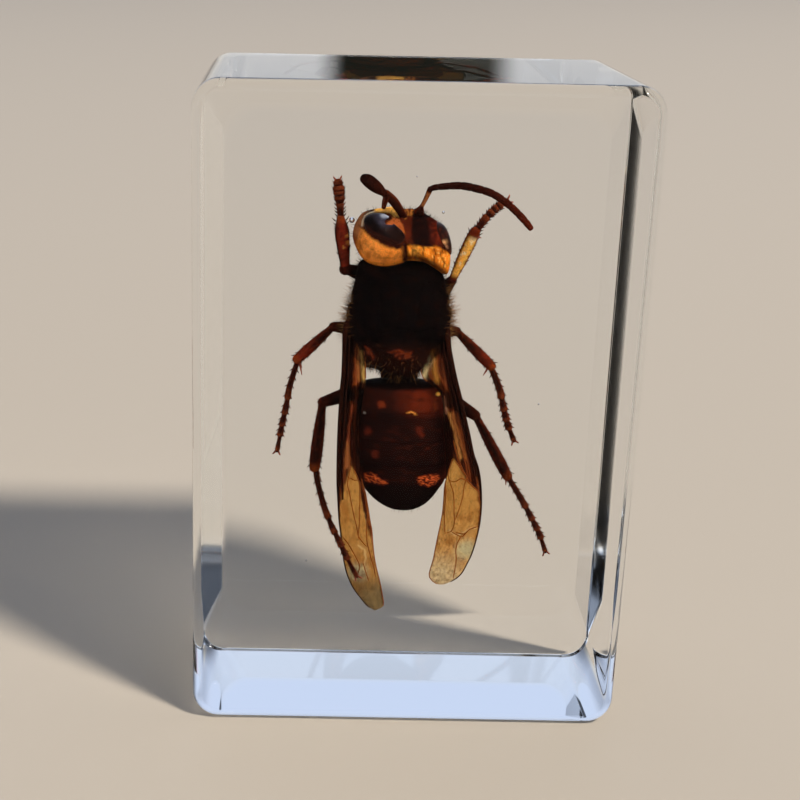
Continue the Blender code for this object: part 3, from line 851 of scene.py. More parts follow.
headPlan = {
    "centre": (-1.37, 0.1, 45.1), "sight": (0.046, -0.132), "reach": 9.0, "melt": 0.7,
    # the skull, behind and under each eye, and the shield over the mouth
    "lumps": [((-1.4, 0.1, 45.1), (4.3, 3.9, 2.8), headTurn), (onHead((2.3, -0.9, 0.4)),
        (2.3, 2.9, 2.2), headTurn), (onHead((-2.3, -0.9, 0.4)), (2.3, 2.9, 2.2), headTurn), (onHead((0,
        1.9, 1.5)), (2.2, 1.9, 1.6), headTurn)],
    "outline": ((-5.83, 45.35), (-5.72, 46.18), (-5.42, 46.88), (-5.03, 47.39), (-4.54, 47.63),
        (-3.91, 47.79), (-3.19, 47.88), (-2.47, 48.02), (-1.74, 47.91), (-1.2, 47.86), (-0.57, 47.89),
        (0.16, 47.68), (0.99, 47.27), (1.75, 46.79), (2.34, 46.24), (2.72, 45.43), (2.98, 44.52),
        (3.09, 43.59), (3.08, 42.75), (2.9, 41.95), (2.45, 41.95), (1.96, 42.26), (1.39, 42.67),
        (0.74, 42.98), (0.0, 43.1), (-0.73, 43.1), (-1.27, 42.85), (-1.99, 42.6), (-2.81, 42.49),
        (-3.73, 42.63), (-4.47, 42.92), (-5.04, 43.42), (-5.47, 44.16), (-5.72, 44.8)),
    # as seen from the front
    "leftEye": ((-4.7, 47.0), (-4.42, 47.2), (-3.95, 47.36), (-3.37, 47.38), (-2.85, 47.25),
        (-2.62, 47.05), (-2.85, 46.85), (-3.01, 46.65), (-2.87, 46.38), (-2.41, 46.2), (-1.87, 46.12),
        (-1.41, 45.85), (-1.12, 45.31), (-1.37, 44.8), (-1.81, 44.61), (-2.45, 44.87), (-3.27, 45.16),
        (-4.07, 45.55), (-4.57, 45.84), (-4.79, 46.35), (-4.82, 46.75)),
    "leftEyeMiddle": (-3.55, 46.3), "eyeRise": 0.22,
    # a painted highlight along the left eye's upper edge, as seen from the front
    "eyeHighlight": ((-3.2, 47.22), (-2.8, 47.16), (-2.4, 47.02)),
    "eyeLowEdge": ((-4.7, 46.2), (-4.0, 45.6), (-3.2, 45.25), (-2.4, 44.95), (-1.8, 44.7)),
    # degrees round from the front and up, on the head's right side
    "rightEye": ((62, 12), (70, 22), (86, 27), (104, 24), (120, 12), (128, -4), (122, -16), (108, -20),
        (96, -10), (84, -14), (70, -14), (62, -4)),
    "rightEyeMiddle": (95, 4),
    "gena": ((-5.95, 45.5), (-5.58, 46.19), (-4.94, 45.92), (-4.46, 45.38), (-4, 45.02), (-3.16, 44.57),
        (-2.33, 44.22), (-1.68, 44.1), (-1.24, 44.43), (-1.03, 43.69), (-1.09, 42.8), (-1.99, 42.3),
        (-2.81, 42.2), (-3.73, 42.4), (-4.47, 42.6), (-5.2, 43.2), (-5.8, 44.16)),
    "vertexBand": ((-0.88, 44.44), (-0.33, 44.54), (0.31, 44.46), (1.04, 44.38), (1.58, 44.49),
        (2.14, 44.31), (2.79, 43.96), (3.2, 43.7), (3.3, 42.75), (3.1, 41.6), (2.4, 41.6), (1.96, 42.0),
        (1.4, 42.4), (0.74, 42.8), (0, 43.0), (-0.8, 43.0)),
    "darkMiddle": ((-0.46, 47.6), (0.63, 47.6), (1.48, 46.9), (1.98, 45.79), (1.9, 44.7), (1.04, 44.42),
        (-0.25, 44.55), (-0.57, 45.92)),
    "redSide": ((1.0, 46.9), (1.7, 46.9), (2.5, 46.3), (2.9, 45.4), (2.5, 44.8), (1.9, 44.6),
        (1.25, 44.9), (1.2, 46.0)),
    "notch": ((-2.77, 46.43), (-2.25, 46.99), (-1.7, 46.91), (-1.32, 46.27), (-1.1, 45.54),
        (-1.57, 45.81), (-2.48, 45.93)),
    "paleRim": ((-6, 45.44), (-5.9, 46.7), (-5.2, 47.6), (-4.7, 47.55), (-4.95, 46.38), (-5.11, 45.64),
        (-5.36, 45.08)),
    "browTop": ((-3.9, 47.5), (-3.95, 47.8), (-3.3, 48.05), (-2.6, 48.3), (-1.9, 48.3), (-1.35, 48.2),
        (-1.45, 47.5), (-1.75, 47.1), (-2.1, 47.15), (-2.5, 47.5)),
    "browMiddle": ((-1.29, 48.1), (-0.39, 48.1), (-0.42, 46.66), (-0.55, 45.37), (-0.89, 44.71),
        (-1.29, 45.54), (-1.6, 46.63)),
    "cheekEdge": ((-5.55, 44.2), (-5.0, 43.3), (-4.4, 42.85), (-3.7, 42.6), (-2.8, 42.45),
        (-2.0, 42.55), (-1.3, 42.8)),
    # a thin painted highlight round the left eye's upper-left edge
    "eyeRimHighlight": ((-4.98, 46.2), (-4.96, 46.7), (-4.78, 47.14), (-4.4, 47.4), (-3.95, 47.52)),
    "cheekSpots": ((-4.3, 43.6, 0.3), (-3.75, 43.45, 0.16), (-3.3, 43.35, 0.2), (-2.85, 43.1, 0.26),
        (-4.95, 44.2, 0.16), (-2.3, 43.75, 0.14), (-3.9, 44.2, 0.12)),
    "vertexCracks": (((0.66, 44.5), (0.55, 43.9), (0.7, 43.3), (0.6, 42.9)), ((-0.35, 44.5),
        (-0.3, 44.0), (-0.45, 43.4)), ((1.5, 44.3), (1.75, 43.8), (1.55, 43.2), (1.8, 42.6)),
        ((2.3, 44.2), (2.2, 43.6), (2.55, 43.0), (2.4, 42.3))),
    "browStreaks": (((-1.0, 47.9), (-0.86, 47.3)), ((-0.55, 47.9), (-0.62, 47.25)), ((-1.25, 47.7),
        (-1.15, 47.0))),
    "underEye": ((-1.85, 44.6), (-0.95, 44.75), (-0.75, 44.0), (-0.9, 43.0), (-1.2, 43.0), (-1.3, 44.0)),
    "vertexEdge": ((-1.0, 43.3), (-0.49, 43.42), (0.69, 43.22), (1.63, 42.8), (2.17, 42.35),
        (2.9, 41.85)),
    # lines, depths and widths: behind the cheek, and down the head's middle
    "grooves": ((((-1.35, 44.7), (-1.05, 44.1), (-1.0, 43.4)), 0.13, 0.2), (((0.66, 44.5), (0.62, 43.7),
        (0.66, 42.9)), 0.07, 0.07)),
    # the antennae's
    "sockets": ((-1.75, 47.3), (-0.05, 47.35)),
    "cheekRim": ((-5.85, 45.3), (-5.65, 44.3), (-5.2, 43.4), (-4.5, 42.75), (-3.5, 42.4), (-2.3, 42.4)),
    "hairyCrown": ((-3, 49), (-2, 47), (0, 46.6), (1.8, 46.2), (3, 47), (2, 49)),
}


def headSkin(plan):
    smooth = makeSkin(plan)

    def skin(directions):
        points = smooth(directions)
        seen = asSeen(points, plan)
        front = points[:, 1] < plan["centre"][1] + 0.8
        for run, deep, wide in plan["grooves"]:
            points = points - directions * (deep * stroke(seen, run, wide) * front)[:, None]
        for middle in plan["sockets"]:      # the rims round the antennae's roots
            ring = np.linalg.norm(seen - np.array(middle), axis=1)
            points = points + directions * (0.12 * ridge(ring - 0.45, 0.14) * front)[:, None]
        return points

    return skin


def headTone(points, plan):
    exact = asSeen(points, plan)
    seen = ragged(exact, points, 0.35, 0.1)
    front = 1 - smoothStep(1.2, 2.6, points[:, 1])

    def loop(key, soft):
        return insideLoop(seen, plan[key], soft) * front

    def line(run, width):
        return stroke(seen, run, width) * front

    cheek, vertex = loop("gena", 0.12), loop("vertexBand", 0.12)
    cloud = clouds(points, 0.8, -0.3, 0.6)
    layers = [
        ("#8a4f1e", 0.8 * smoothStep(1.2, 3.0, points[:, 1])),
        ("#5a2410", 0.8 * clouds(points, 0.5, 0.1, 0.8)),
        ("#ff9a40", cheek), ("#d07028", cheek * cloud * 0.6),
        ("#f58a2c", 0.6 * cheek * smoothStep(-4.2, -2.4, seen[:, 0])),
        ("#8a4422", 0.8 * cheek * smoothStep(-5.0, -5.6, seen[:, 0])),
        ("#a8663c", 0.85 * loop("paleRim", 0.3)),
        ("#ff8e2e", 0.8 * cheek * line(plan["cheekEdge"], 0.25)),
        ("#7a2c10", 0.9 * line(plan["cheekRim"], 0.2)),
        ("#f98a22", vertex), ("#b04a12", vertex * cloud * 0.5 * smoothStep(-0.6, 0.8, seen[:, 0])),
        ("#ffb850", vertex * clouds(points, 0.22, 0.15, 0.6)),
        # painted light: a bright spot where the vertex band turns sideways into shade
        ("#ffb84c", 0.85 * vertex * disc(seen, (-0.1, 44.0), 0.35, 0.4)),
        ("#ffbc58", 0.95 * loop("browTop", 0.12)), ("#5c200e", 0.85 * loop("browMiddle", 0.2)),
        ("#140706", loop("darkMiddle", 0.18)),
        ("#4a1c0e", 0.4 * loop("darkMiddle", 0.1) * clouds(points + 7, 0.35, 0.2, 0.7)),
        ("#7a2814", 0.75 * loop("redSide", 0.35) * (0.35 + 0.65 * clouds(points + 2, 0.3, -0.2, 0.4))),
        # painted highlight: the pale line round the eye's upper-left edge
        ("#b9602c", loop("notch", 0.1)), ("#efdcb8", 0.9 * stroke(exact, plan["eyeRimHighlight"], 0.06) * front),
        ("#2c0f08", 0.85 * loop("underEye", 0.12)), ("#3c1208", 0.9 * line(plan["vertexEdge"], 0.32))]
    layers += [("#8a3c14", 0.45 * disc(seen, place, radius, 0.2) * front)
               for *place, radius in plan["cheekSpots"]]
    layers += [("#3c1608", 0.9 * line(crack, 0.075)) for crack in plan["vertexCracks"]]
    layers += [("#e08a38", 0.65 * line(streak, 0.09)) for streak in plan["browStreaks"]]
    return painted(len(points), "#2c110a", layers)


def makeHead(plan, cuticle, eyeLens):
    skin = headSkin(plan)
    directions, faces = evenDirections(6)
    points = skin(directions)
    hairiness = 0.2 + 0.75 * insideLoop(asSeen(points, plan), plan["hairyCrown"], 0.3)
    head = hornetPiece(meshPiece("headCapsule", points, faces, cuticle, headTone(points, plan),
                                 {"hairiness": hairiness}))

    def addEye(side, middle, rim, sway, paint):
        points, faces = domePatch(skin, middle, rim, plan["eyeRise"])
        tone = painted(len(points), *paint(points, ragged(asSeen(points, plan), points, 0.5, sway)))
        hornetPiece(meshPiece(side + "Eye", points, faces, eyeLens, tone))

    addEye("left", frontDirections(skin, plan, [plan["leftEyeMiddle"]])[0],
           frontDirections(skin, plan, smoothRun(plan["leftEye"], 96, closed=True)), 0.08,
           lambda points, seen: ("#0d0606", (
               ("#3c160c", 0.7 * stroke(seen, plan["eyeLowEdge"], 0.15)),
               # painted reflection: a bluish sheen round a pale painted highlight along the upper edge
               ("#5c5f78", 0.8 * disc(seen, plan["eyeHighlight"][1], 0.75, 0.6)),
               ("#d4dcec", stroke(seen, plan["eyeHighlight"], 0.17)))))

    def around(angles):
        turn, rise = np.radians(np.asarray(angles, dtype=float)).T
        return np.stack([np.sin(turn) * np.cos(rise), -np.cos(turn) * np.cos(rise), np.sin(rise)], axis=1)

    addEye("right", around([plan["rightEyeMiddle"]])[0],
           around(smoothRun(plan["rightEye"], 96, closed=True)), 0.12,
           lambda points, seen: ("#220c08", (
               ("#5a2410", 0.7 * clouds(points, 0.4, 0.1, 0.7)),
               # painted highlight: a pale glint low on the right eye
               ("#ffb878", disc(seen, (2.55, 44.9), 0.2, 0.22)),
               ("#e8a070", disc(seen, (2.7, 44.45), 0.1, 0.16)))))
    print("head made")
    return head


# The thorax

thoraxPlan = {
    "centre": (-1.35, 0.2, 37.6), "sight": (0.046, -0.168), "reach": 10.0, "melt": 0.8,
    # the main box, the collar behind the head, the shield between the wings, its steep
    # hind end in two, and the breast
    "lumps": [((-1.35, 0.3, 38.4), (4.7, 4.0, 4.9), turned((0, 0, 0))), ((-1.35, 0.3, 41.3),
        (4.2, 3.5, 2.3), turned((-12, 0, 0))), ((-1.35, -2.7, 35.2), (2.3, 1.25, 1.15),
        turned((20, 0, 0))), ((-1.35, -1.0, 34.3), (3.2, 2.2, 1.6), turned((25, 0, 0))),
        ((-1.35, 0.9, 34.3), (3.5, 2.8, 2.7), turned((0, 0, 0))), ((-1.35, 2.6, 38.0), (3.4, 1.7, 3.4),
        turned((0, 0, 0)))],
    "outline": ((-5.4, 42.1), (-5.5, 41.2), (-5.75, 40.2), (-6.0, 39.09), (-6.2, 38.04), (-6.24, 37.19),
        (-6.2, 36.12), (-5.95, 34.95), (-5.35, 33.85), (-4.6, 33.05), (-3.85, 32.78), (-3.1, 32.6),
        (-2.5, 32.1), (-1.9, 31.75), (-0.99, 31.6), (-0.1, 31.75), (0.45, 32.2), (0.95, 32.75),
        (1.7, 33.4), (2.62, 34.45), (3.13, 35.43), (3.38, 36.54), (3.45, 37.3), (3.5, 38.1),
        (3.46, 38.9), (3.2, 39.8), (2.85, 40.9), (2.5, 41.9), (2.2, 42.75), (1.2, 43.1), (-0.1, 43.3),
        (-1.35, 43.35), (-2.9, 43.3), (-4.2, 43.25), (-5.1, 42.9)),
    "collarSeam": ((-6.3, 38.9), (-5.0, 40.3), (-3.4, 41.5), (-1.35, 42.0), (0.7, 41.5), (2.3, 40.3),
        (3.5, 38.9)),
    "backSeams": (((-1.35, 41.9), (-1.35, 37.6)), ((-3.3, 40.8), (-2.9, 36.9)), ((0.6, 40.8),
        (0.2, 36.9))),
    "shieldSeam": ((-4.6, 36.6), (-3.2, 36.2), (-1.35, 36.5), (0.5, 36.2), (1.9, 36.6)),
    "shieldHindSeam": ((-3.9, 34.6), (-2.6, 34.2), (-1.35, 33.95), (-0.1, 34.2), (1.2, 34.6)),
    "hindStrokes": (((-2.1, 34.35), (-1.2, 34.5), (-0.3, 34.1)), ((-1.5, 34.1), (-0.8, 34.25),
        (-0.1, 34.4)), ((-1.0, 33.85), (-0.2, 33.95)), ((-4.3, 34.8), (-3.9, 34.2)), ((-3.9, 34.5),
        (-3.5, 33.8))),
    "brownPatches": (((-4.4, 34.85), (-3.9, 34.8), (-3.2, 33.8), (-3.5, 33.45), (-4.2, 34.3)),
        ((-2.0, 34.5), (-0.9, 34.75), (0.1, 34.55), (0.2, 33.9), (-0.5, 33.8), (-1.1, 34.05),
        (-1.7, 34.1)), ((-4.5, 42.4), (-3.5, 42.4), (-3.4, 41.7), (-4.3, 41.6))),
}


def thoraxSkin(plan):
    smooth = makeSkin(plan)
    grooves = [(plan["collarSeam"], 0.2, 0.16), (plan["shieldSeam"], 0.28, 0.18),
               (plan["shieldHindSeam"], 0.26, 0.18)] + [(run, 0.1, 0.1) for run in plan["backSeams"]]

    def skin(directions):
        points = smooth(directions)
        seen = asSeen(points, plan)
        front = 1 - smoothStep(-0.5, 1.5, points[:, 1] - plan["centre"][1])
        depth = np.zeros(len(points))
        for run, deep, wide in grooves:
            depth += deep * stroke(seen, smoothRun(run, 40) if len(run) > 2 else run, wide)
        # seams down the flanks, behind each pair of legs
        side = smoothStep(0.2, 1.0, np.abs(directions[:, 0]) * 1.3)
        for level, lean in ((40.4, 0.35), (37.4, 0.25), (35.3, 0.1)):
            gap = points[:, 2] - level + lean * (points[:, 1] - 0.5)
            depth += 0.16 * ridge(gap, 0.16) * side * (1 - front * 0.5)
        return points - directions * (depth * np.maximum(front, side))[:, None]

    return skin


def makeThorax(plan, cuticle):
    directions, faces = evenDirections(6)
    points = thoraxSkin(plan)(directions)
    seen = asSeen(points, plan)
    front = 1 - smoothStep(-0.5, 1.5, points[:, 1])
    rough = ragged(seen, points, 0.5, 0.2)
    hind = smoothStep(35.6, 34.2, seen[:, 1])
    edge = np.abs(seen[:, 0] + 1.35) / 4.9
    layers = [("#2a1009", 0.7 * hind), ("#6a3015", 0.75 * smoothStep(1.2, 3.2, points[:, 1])),
              ("#35180d", 0.6 * clouds(points, 0.9, 0.1, 0.8) * (1 - front * 0.7)),
              ("#1d0c08", 0.6 * front * smoothStep(0.75, 1.0, edge))]
    layers += [(tint, 0.85 * insideLoop(rough, loop, 0.28) * front)
               for loop, tint in zip(plan["brownPatches"], ("#3c150b", "#2c1009", "#1e0c08"))]
    layers += [("#8a3416", 0.8 * stroke(rough, run, 0.1) * front) for run in plan["hindStrokes"]]
    layers.append(("#8a4a22", 0.6 * hind * front * clouds(points + 3, 0.3, 0.5, 0.8)))
    hairiness = np.maximum(0.5 + 0.3 * smoothStep(0.6, 1.0, edge), smoothStep(35.0, 33.2, points[:, 2]))
    hairiness *= 1 - 0.75 * smoothStep(2.0, 3.6, points[:, 1])
    comb = np.zeros_like(points)
    comb[:, 2] = np.where(points[:, 2] < 35.5, -0.4, 0.45)
    # the long golden fringe grows where the thorax turns away at its sides and its hind rim
    fringe = smoothStep(0.82, 0.97, edge) * (1 - smoothStep(1.5, 2.6, np.abs(points[:, 1])))
    fringe = np.maximum(fringe, 0.12 * smoothStep(34.2, 33.2, seen[:, 1]) * front)
    print("thorax made")
    return hornetPiece(meshPiece("thorax", points, faces, cuticle, painted(len(points), "#070404", layers),
                                 {"hairiness": hairiness, "comb": comb, "fringe": fringe}))


# The abdomen: overlapping rings, each narrower where it slips under the one before it

abdomenPlan = {
    "middleDepth": 0.4, "flat": 0.74,
    # how far back it goes per millimetre down
    "lean": 0.07,
    # its left side from the waist down, then its right side, as seen
    "outline": ((-2.6, 31.6), (-4.3, 31.4), (-5.0, 31.0), (-5.15, 30.0), (-5.25, 29.04), (-5.44, 27.79),
        (-5.6, 26.14), (-5.55, 24.86), (-5.3, 23.62), (-4.95, 22.6), (-4.5, 21.5), (-3.9, 20.6),
        (-3.05, 19.65), (-2.12, 18.97), (-1.22, 18.58), (-0.15, 18.43)),
    "otherSide": ((0.9, 31.6), (2.4, 31.4), (3.0, 31.0), (3.2, 30.0), (3.52, 28.72), (3.95, 27.57),
        (4.28, 26.57), (4.4, 25.49), (4.38, 24.65), (4.25, 23.82), (4.05, 22.7), (3.75, 21.75),
        (3.3, 21.0), (2.64, 19.95), (1.9, 19.15), (0.95, 18.62), (-0.15, 18.43)),
    # where each ring ends, and how far it overhangs; glow is a painted glow of light through the first
    # ring, its middle and radius
    "rims": (29.1, 26.3, 23.9, 22.0), "step": 0.11, "rounds": 144, "rows": 300, "glow": (1.0, 30.4, 1.9),
    "rustPatch": ((-3.1, 30.11), (-2.65, 30.31), (-2.44, 29.63), (-2.99, 29.52)),
    "lowPatches": ((-3.88, 27.21, 0.3), (0.85, 27.3, 0.3), (1.1, 26.9, 0.22), (-3.2, 24.95, 0.26),
        (1.8, 25.58, 0.1)),
    "darkBands": ((27.75, 28.95), (23.5, 24.5)),
    "wrinkled": (((-4.15, 22.9), (-3.6, 23.05), (-3.0, 22.85), (-2.5, 22.35), (-2.1, 22.3),
        (-1.9, 22.0), (-2.4, 21.9), (-3.0, 22.0), (-3.7, 22.1), (-4.1, 22.3)), ((0.9, 22.6),
        (1.4, 22.85), (2.2, 23.0), (2.9, 22.95), (3.05, 22.6), (2.6, 22.1), (2.0, 21.75), (1.5, 21.8),
        (1.1, 22.1))),
    # painted highlights: a round glint (x, z and radius) and a crescent
    "glint": (2.46, 31.0, 0.19), "crescent": ((-0.3, 29.08), (0.0, 29.2), (0.3, 29.1), (0.45, 28.92)),
    "centre": (0, -3.0, 0), "sight": (0.046, -0.21),
    "waist": ((-1.2, 0.5, 33.3), (-1.05, 0.45, 32.4), (-0.9, 0.4, 31.7), (-0.9, 0.4, 31.0)),
}


def abdomenTone(points, aside, levels, plan):
    seen = asSeen(points, plan)
    rough = ragged(seen, points, 0.6, 0.22)
    fine = ragged(seen, points, 0.16, 0.12)
    front = 1 - smoothStep(0.4, 2.0, points[:, 1])
    layers = [("#34120a", 0.65 * smoothStep(28.6, 30.2, rough[:, 1])),
              # painted glow: light shining through the first ring, with a brighter painted streak at its
              # right
              ("#6b2410", 0.8 * disc(rough, plan["glow"][:2], plan["glow"][2], 1.3) * front),
              ("#8a3a1c", 0.7 * stroke(rough, ((2.2, 30.4), (2.3, 29.4)), 0.16) * front),
              ("#4a1a10", 0.8 * smoothStep(0.76, 0.95, aside)),
              ("#3c150b", 0.55 * clouds(points, 0.9, 0.0, 0.7, (1, 1, 2.2))),
              ("#120706", smoothStep(31.0, 31.4, levels))]
    for low, high in plan["darkBands"]:
        band = smoothStep(low - 0.6, low + 0.6, rough[:, 1])
        layers.append(("#160807", 0.7 * band * (1 - smoothStep(high - 0.5, high + 0.5, rough[:, 1]))))
    layers += [("#6c2412", 0.65 * disc(rough, place, radius, radius * 0.9) * front)
               for *place, radius in plan["lowPatches"]]
    layers += [("#8a3416", 0.85 * insideLoop(fine, plan["rustPatch"], 0.14) * front),
               ("#130908", 0.9 * smoothStep(22.3, 21.5, rough[:, 1]))]
    wrinkles = 1 - clouds(points, 0.13, -0.25, 0.12)
    for loop in plan["wrinkled"]:
        patch = insideLoop(fine, loop, 0.16) * front
        layers += [("#4a160c", patch), ("#f0682e", patch * wrinkles)]
    # painted light: a pale rim along the tip's lower edge, the glint, the crescent, and a small grey glint
    layers += [("#b89468", 0.8 * smoothStep(18.85, 18.55, seen[:, 1])),
               ("#ffb84a", disc(seen, plan["glint"][:2], plan["glint"][2], 0.06) * front),
               ("#ffa242", stroke(seen, plan["crescent"], 0.07) * front),
               ("#8f8078", 0.8 * disc(seen, (-4.34, 29.02), 0.12, 0.06) * front)]
    # the belly is paler, and dark towards each plate's rim
    layers += [("#8a4a20", 0.5 * (1 - front) * ridge(levels - rim + 1.2, 0.6))
               for rim in (31.6,) + plan["rims"]]
    return painted(len(points), "#1f0b08", layers)


def makeAbdomen(plan, cuticle):
    left, right = smoothRun(plan["outline"], 400), smoothRun(plan["otherSide"], 400)
    count, rows, low, top = plan["rounds"], plan["rows"], left[-1, 1], 31.62
    # finer near both ends, where the sides turn in
    level = low + (top - low) * (0.5 + 0.5 * np.cos(math.pi * np.linspace(0, 1, rows)))
    leftX, rightX = (np.interp(level, side[::-1, 1], side[::-1, 0]) for side in (left, right))
    middle, half = (leftX + rightX) / 2, (rightX - leftX) / 2
    half[0], half[-1] = half[1] * 0.6, 0.02
    overhang = np.zeros(rows)
    for rim in plan["rims"]:      # each ring stands out before its rim and falls in behind it
        past = level - rim
        overhang += plan["step"] * (0.65 * ridge(past - 0.25, 0.5) * (past > 0)
                                    - 0.8 * ridge(past + 0.05, 0.35) * (past <= 0))
    turn = np.linspace(0, 2 * math.pi, count, endpoint=False)
    points = []
    for z, x, radius, rise in zip(level, middle, half, overhang):
        radius += rise * min(1, radius)
        depth = plan["middleDepth"] + plan["lean"] * (31.6 - z) * 0.5
        # the rims bow towards the tip down the middle of the back
        bowed = z - 0.25 * np.clip(np.cos(turn), 0, 1) * math.sin(math.pi * (31.6 - z) / 13.2)
        points.append(np.stack([x + radius * np.sin(turn), depth - radius * plan["flat"] * np.cos(turn),
                                bowed], axis=1))
    points = np.vstack(points)
    points = np.vstack([points, points[:count].mean(axis=0), points[-count:].mean(axis=0)])
    levels = np.append(np.repeat(level, count), (top, low))
    faces = ringFaces(rows, count)
    last = (rows - 1) * count
    for k in range(count):
        n = (k + 1) % count
        faces += [(rows * count, k, n), (rows * count + 1, last + n, last + k)]
    aside = np.abs(np.interp(levels, level[::-1], middle[::-1]) - points[:, 0])
    aside /= np.maximum(np.interp(levels, level[::-1], half[::-1]), 0.1)
    piece = hornetPiece(meshPiece(
        "abdomen", points, outwardFaces(points, faces), cuticle, abdomenTone(points, aside, levels, plan), {
            "hairiness": 0.12 + 0.88 * smoothStep(0.78, 0.92, (24.2 - points[:, 2]) / 6.5),
            "comb": np.tile((0.0, 0.0, -1.0), (len(points), 1))}))

    def waistTone(points, shares, edges):
        return "#100706", (("#3a1a0e", 0.8 * clouds(points, 0.4, 0.2, 0.8)),)

    radii = np.interp(np.linspace(0, 1, 24), (0, 0.4, 0.55, 0.8, 1), (1.5, 1.0, 0.85, 1.1, 1.6))
    bundle = newBundle()
    addLimb(bundle, np.column_stack([smoothRun(plan["waist"], 24), radii]), 28, waistTone)
    bundlePiece("waist", bundle, cuticle)
    print("abdomen made")
    return piece


# Antennae: a stalk, then a whip of eleven joints

antennaPlan = {
    # x, y, z and radius
    "rightStalk": ((-0.1, 0.6, 46.6, 0.5), (0.05, 0.1, 47.4, 0.45), (0.15, -0.4, 47.85, 0.36),
        (0.27, -0.6, 48.2, 0.2), (0.55, -1.1, 48.9, 0.2), (0.9, -1.7, 49.9, 0.26)),
    "rightWhip": ((0.75, -1.7, 49.75, 0.2), (1.1, -1.85, 50.0, 0.26), (1.8, -2.0, 50.15, 0.3),
        (3.5, -2.2, 50.3, 0.35), (4.9, -2.3, 50.1, 0.36), (6.3, -2.3, 49.7, 0.35),
        (7.5, -2.1, 49.0, 0.34), (8.6, -1.9, 48.1, 0.33), (9.6, -1.6, 47.1, 0.32),
        (10.2, -1.4, 46.4, 0.25)),
    "leftStalk": ((-1.0, 0.4, 46.3, 0.5), (-1.25, -0.2, 46.95, 0.42), (-1.5, -0.8, 47.5, 0.36),
        (-2.3, -1.8, 48.7, 0.42), (-3.1, -2.7, 49.5, 0.4)),
    "leftWhip": ((-3.0, -2.6, 49.4, 0.26), (-3.4, -3.1, 49.7, 0.36), (-3.8, -3.6, 50.05, 0.5),
        (-4.3, -4.5, 50.5, 0.58), (-4.8, -5.3, 50.95, 0.56), (-5.2, -5.9, 51.2, 0.4)),
    "peg": ((-3.0, -2.7, 49.3, 0.3), (-3.15, -2.8, 48.8, 0.27), (-3.25, -2.9, 48.3, 0.2)),
    "joints": 11.0, "pinch": 0.07, "pinchWidth": 0.12,
    "tones": {"right": ("#2c0f09", "#5a1d0e"), "left": ("#3a150c", "#220c08")},
    # how strong the painted highlight down each stalk's middle is
    "stalkGlow": {"right": 0.9, "left": 0.0},
}


def makeAntennae(plan, cuticle, ringed):
    def stalkTone(points, shares, edges):
        # painted light: redder rims along the sides seen in front, and a pale painted highlight down the
        # middle
        inner = 1 - smoothStep(0.6, 0.95, edges)
        glow = smoothStep(0.5, 0.58, shares) * (1 - smoothStep(0.88, 0.97, shares))
        return "#32130b", [("#64240f", 0.75 * (1 - inner)),
                           ("#c0703c", glow * inner * plan["stalkGlow"][side])]

    def pegTone(points, shares, edges):
        # painted rim light: redder along the sides seen in front
        return "#2c110a", [("#64240f", 0.6 * edges)]

    for side in ("right", "left"):
        tubePiece(side + "Whip", [smoothRun(plan[side + "Whip"], 60)], ringed, {
            "Joints": plan["joints"], "Pinch": plan["pinch"], "Pinch width": plan["pinchWidth"],
            "Steps": 200, "Sides": 26, "Material": cuticle}, plan["tones"][side])
        bundle = newBundle()
        addLimb(bundle, smoothRun(plan[side + "Stalk"], 40), 22, stalkTone)
        if side == "left":      # the stump of a broken joint at the elbow
            addLimb(bundle, smoothRun(plan["peg"], 14), 16, pegTone)
        bundlePiece(side + "Stalk", bundle, cuticle)
    print("antennae made")


# Legs: where each joint is, how the foot runs, and the half widths of thigh, shin and foot. Glow sets a
# painted glow near the shin's ankle end; darkEdges reddens the whole shin and darkens its sides, a painted
# rim of shade

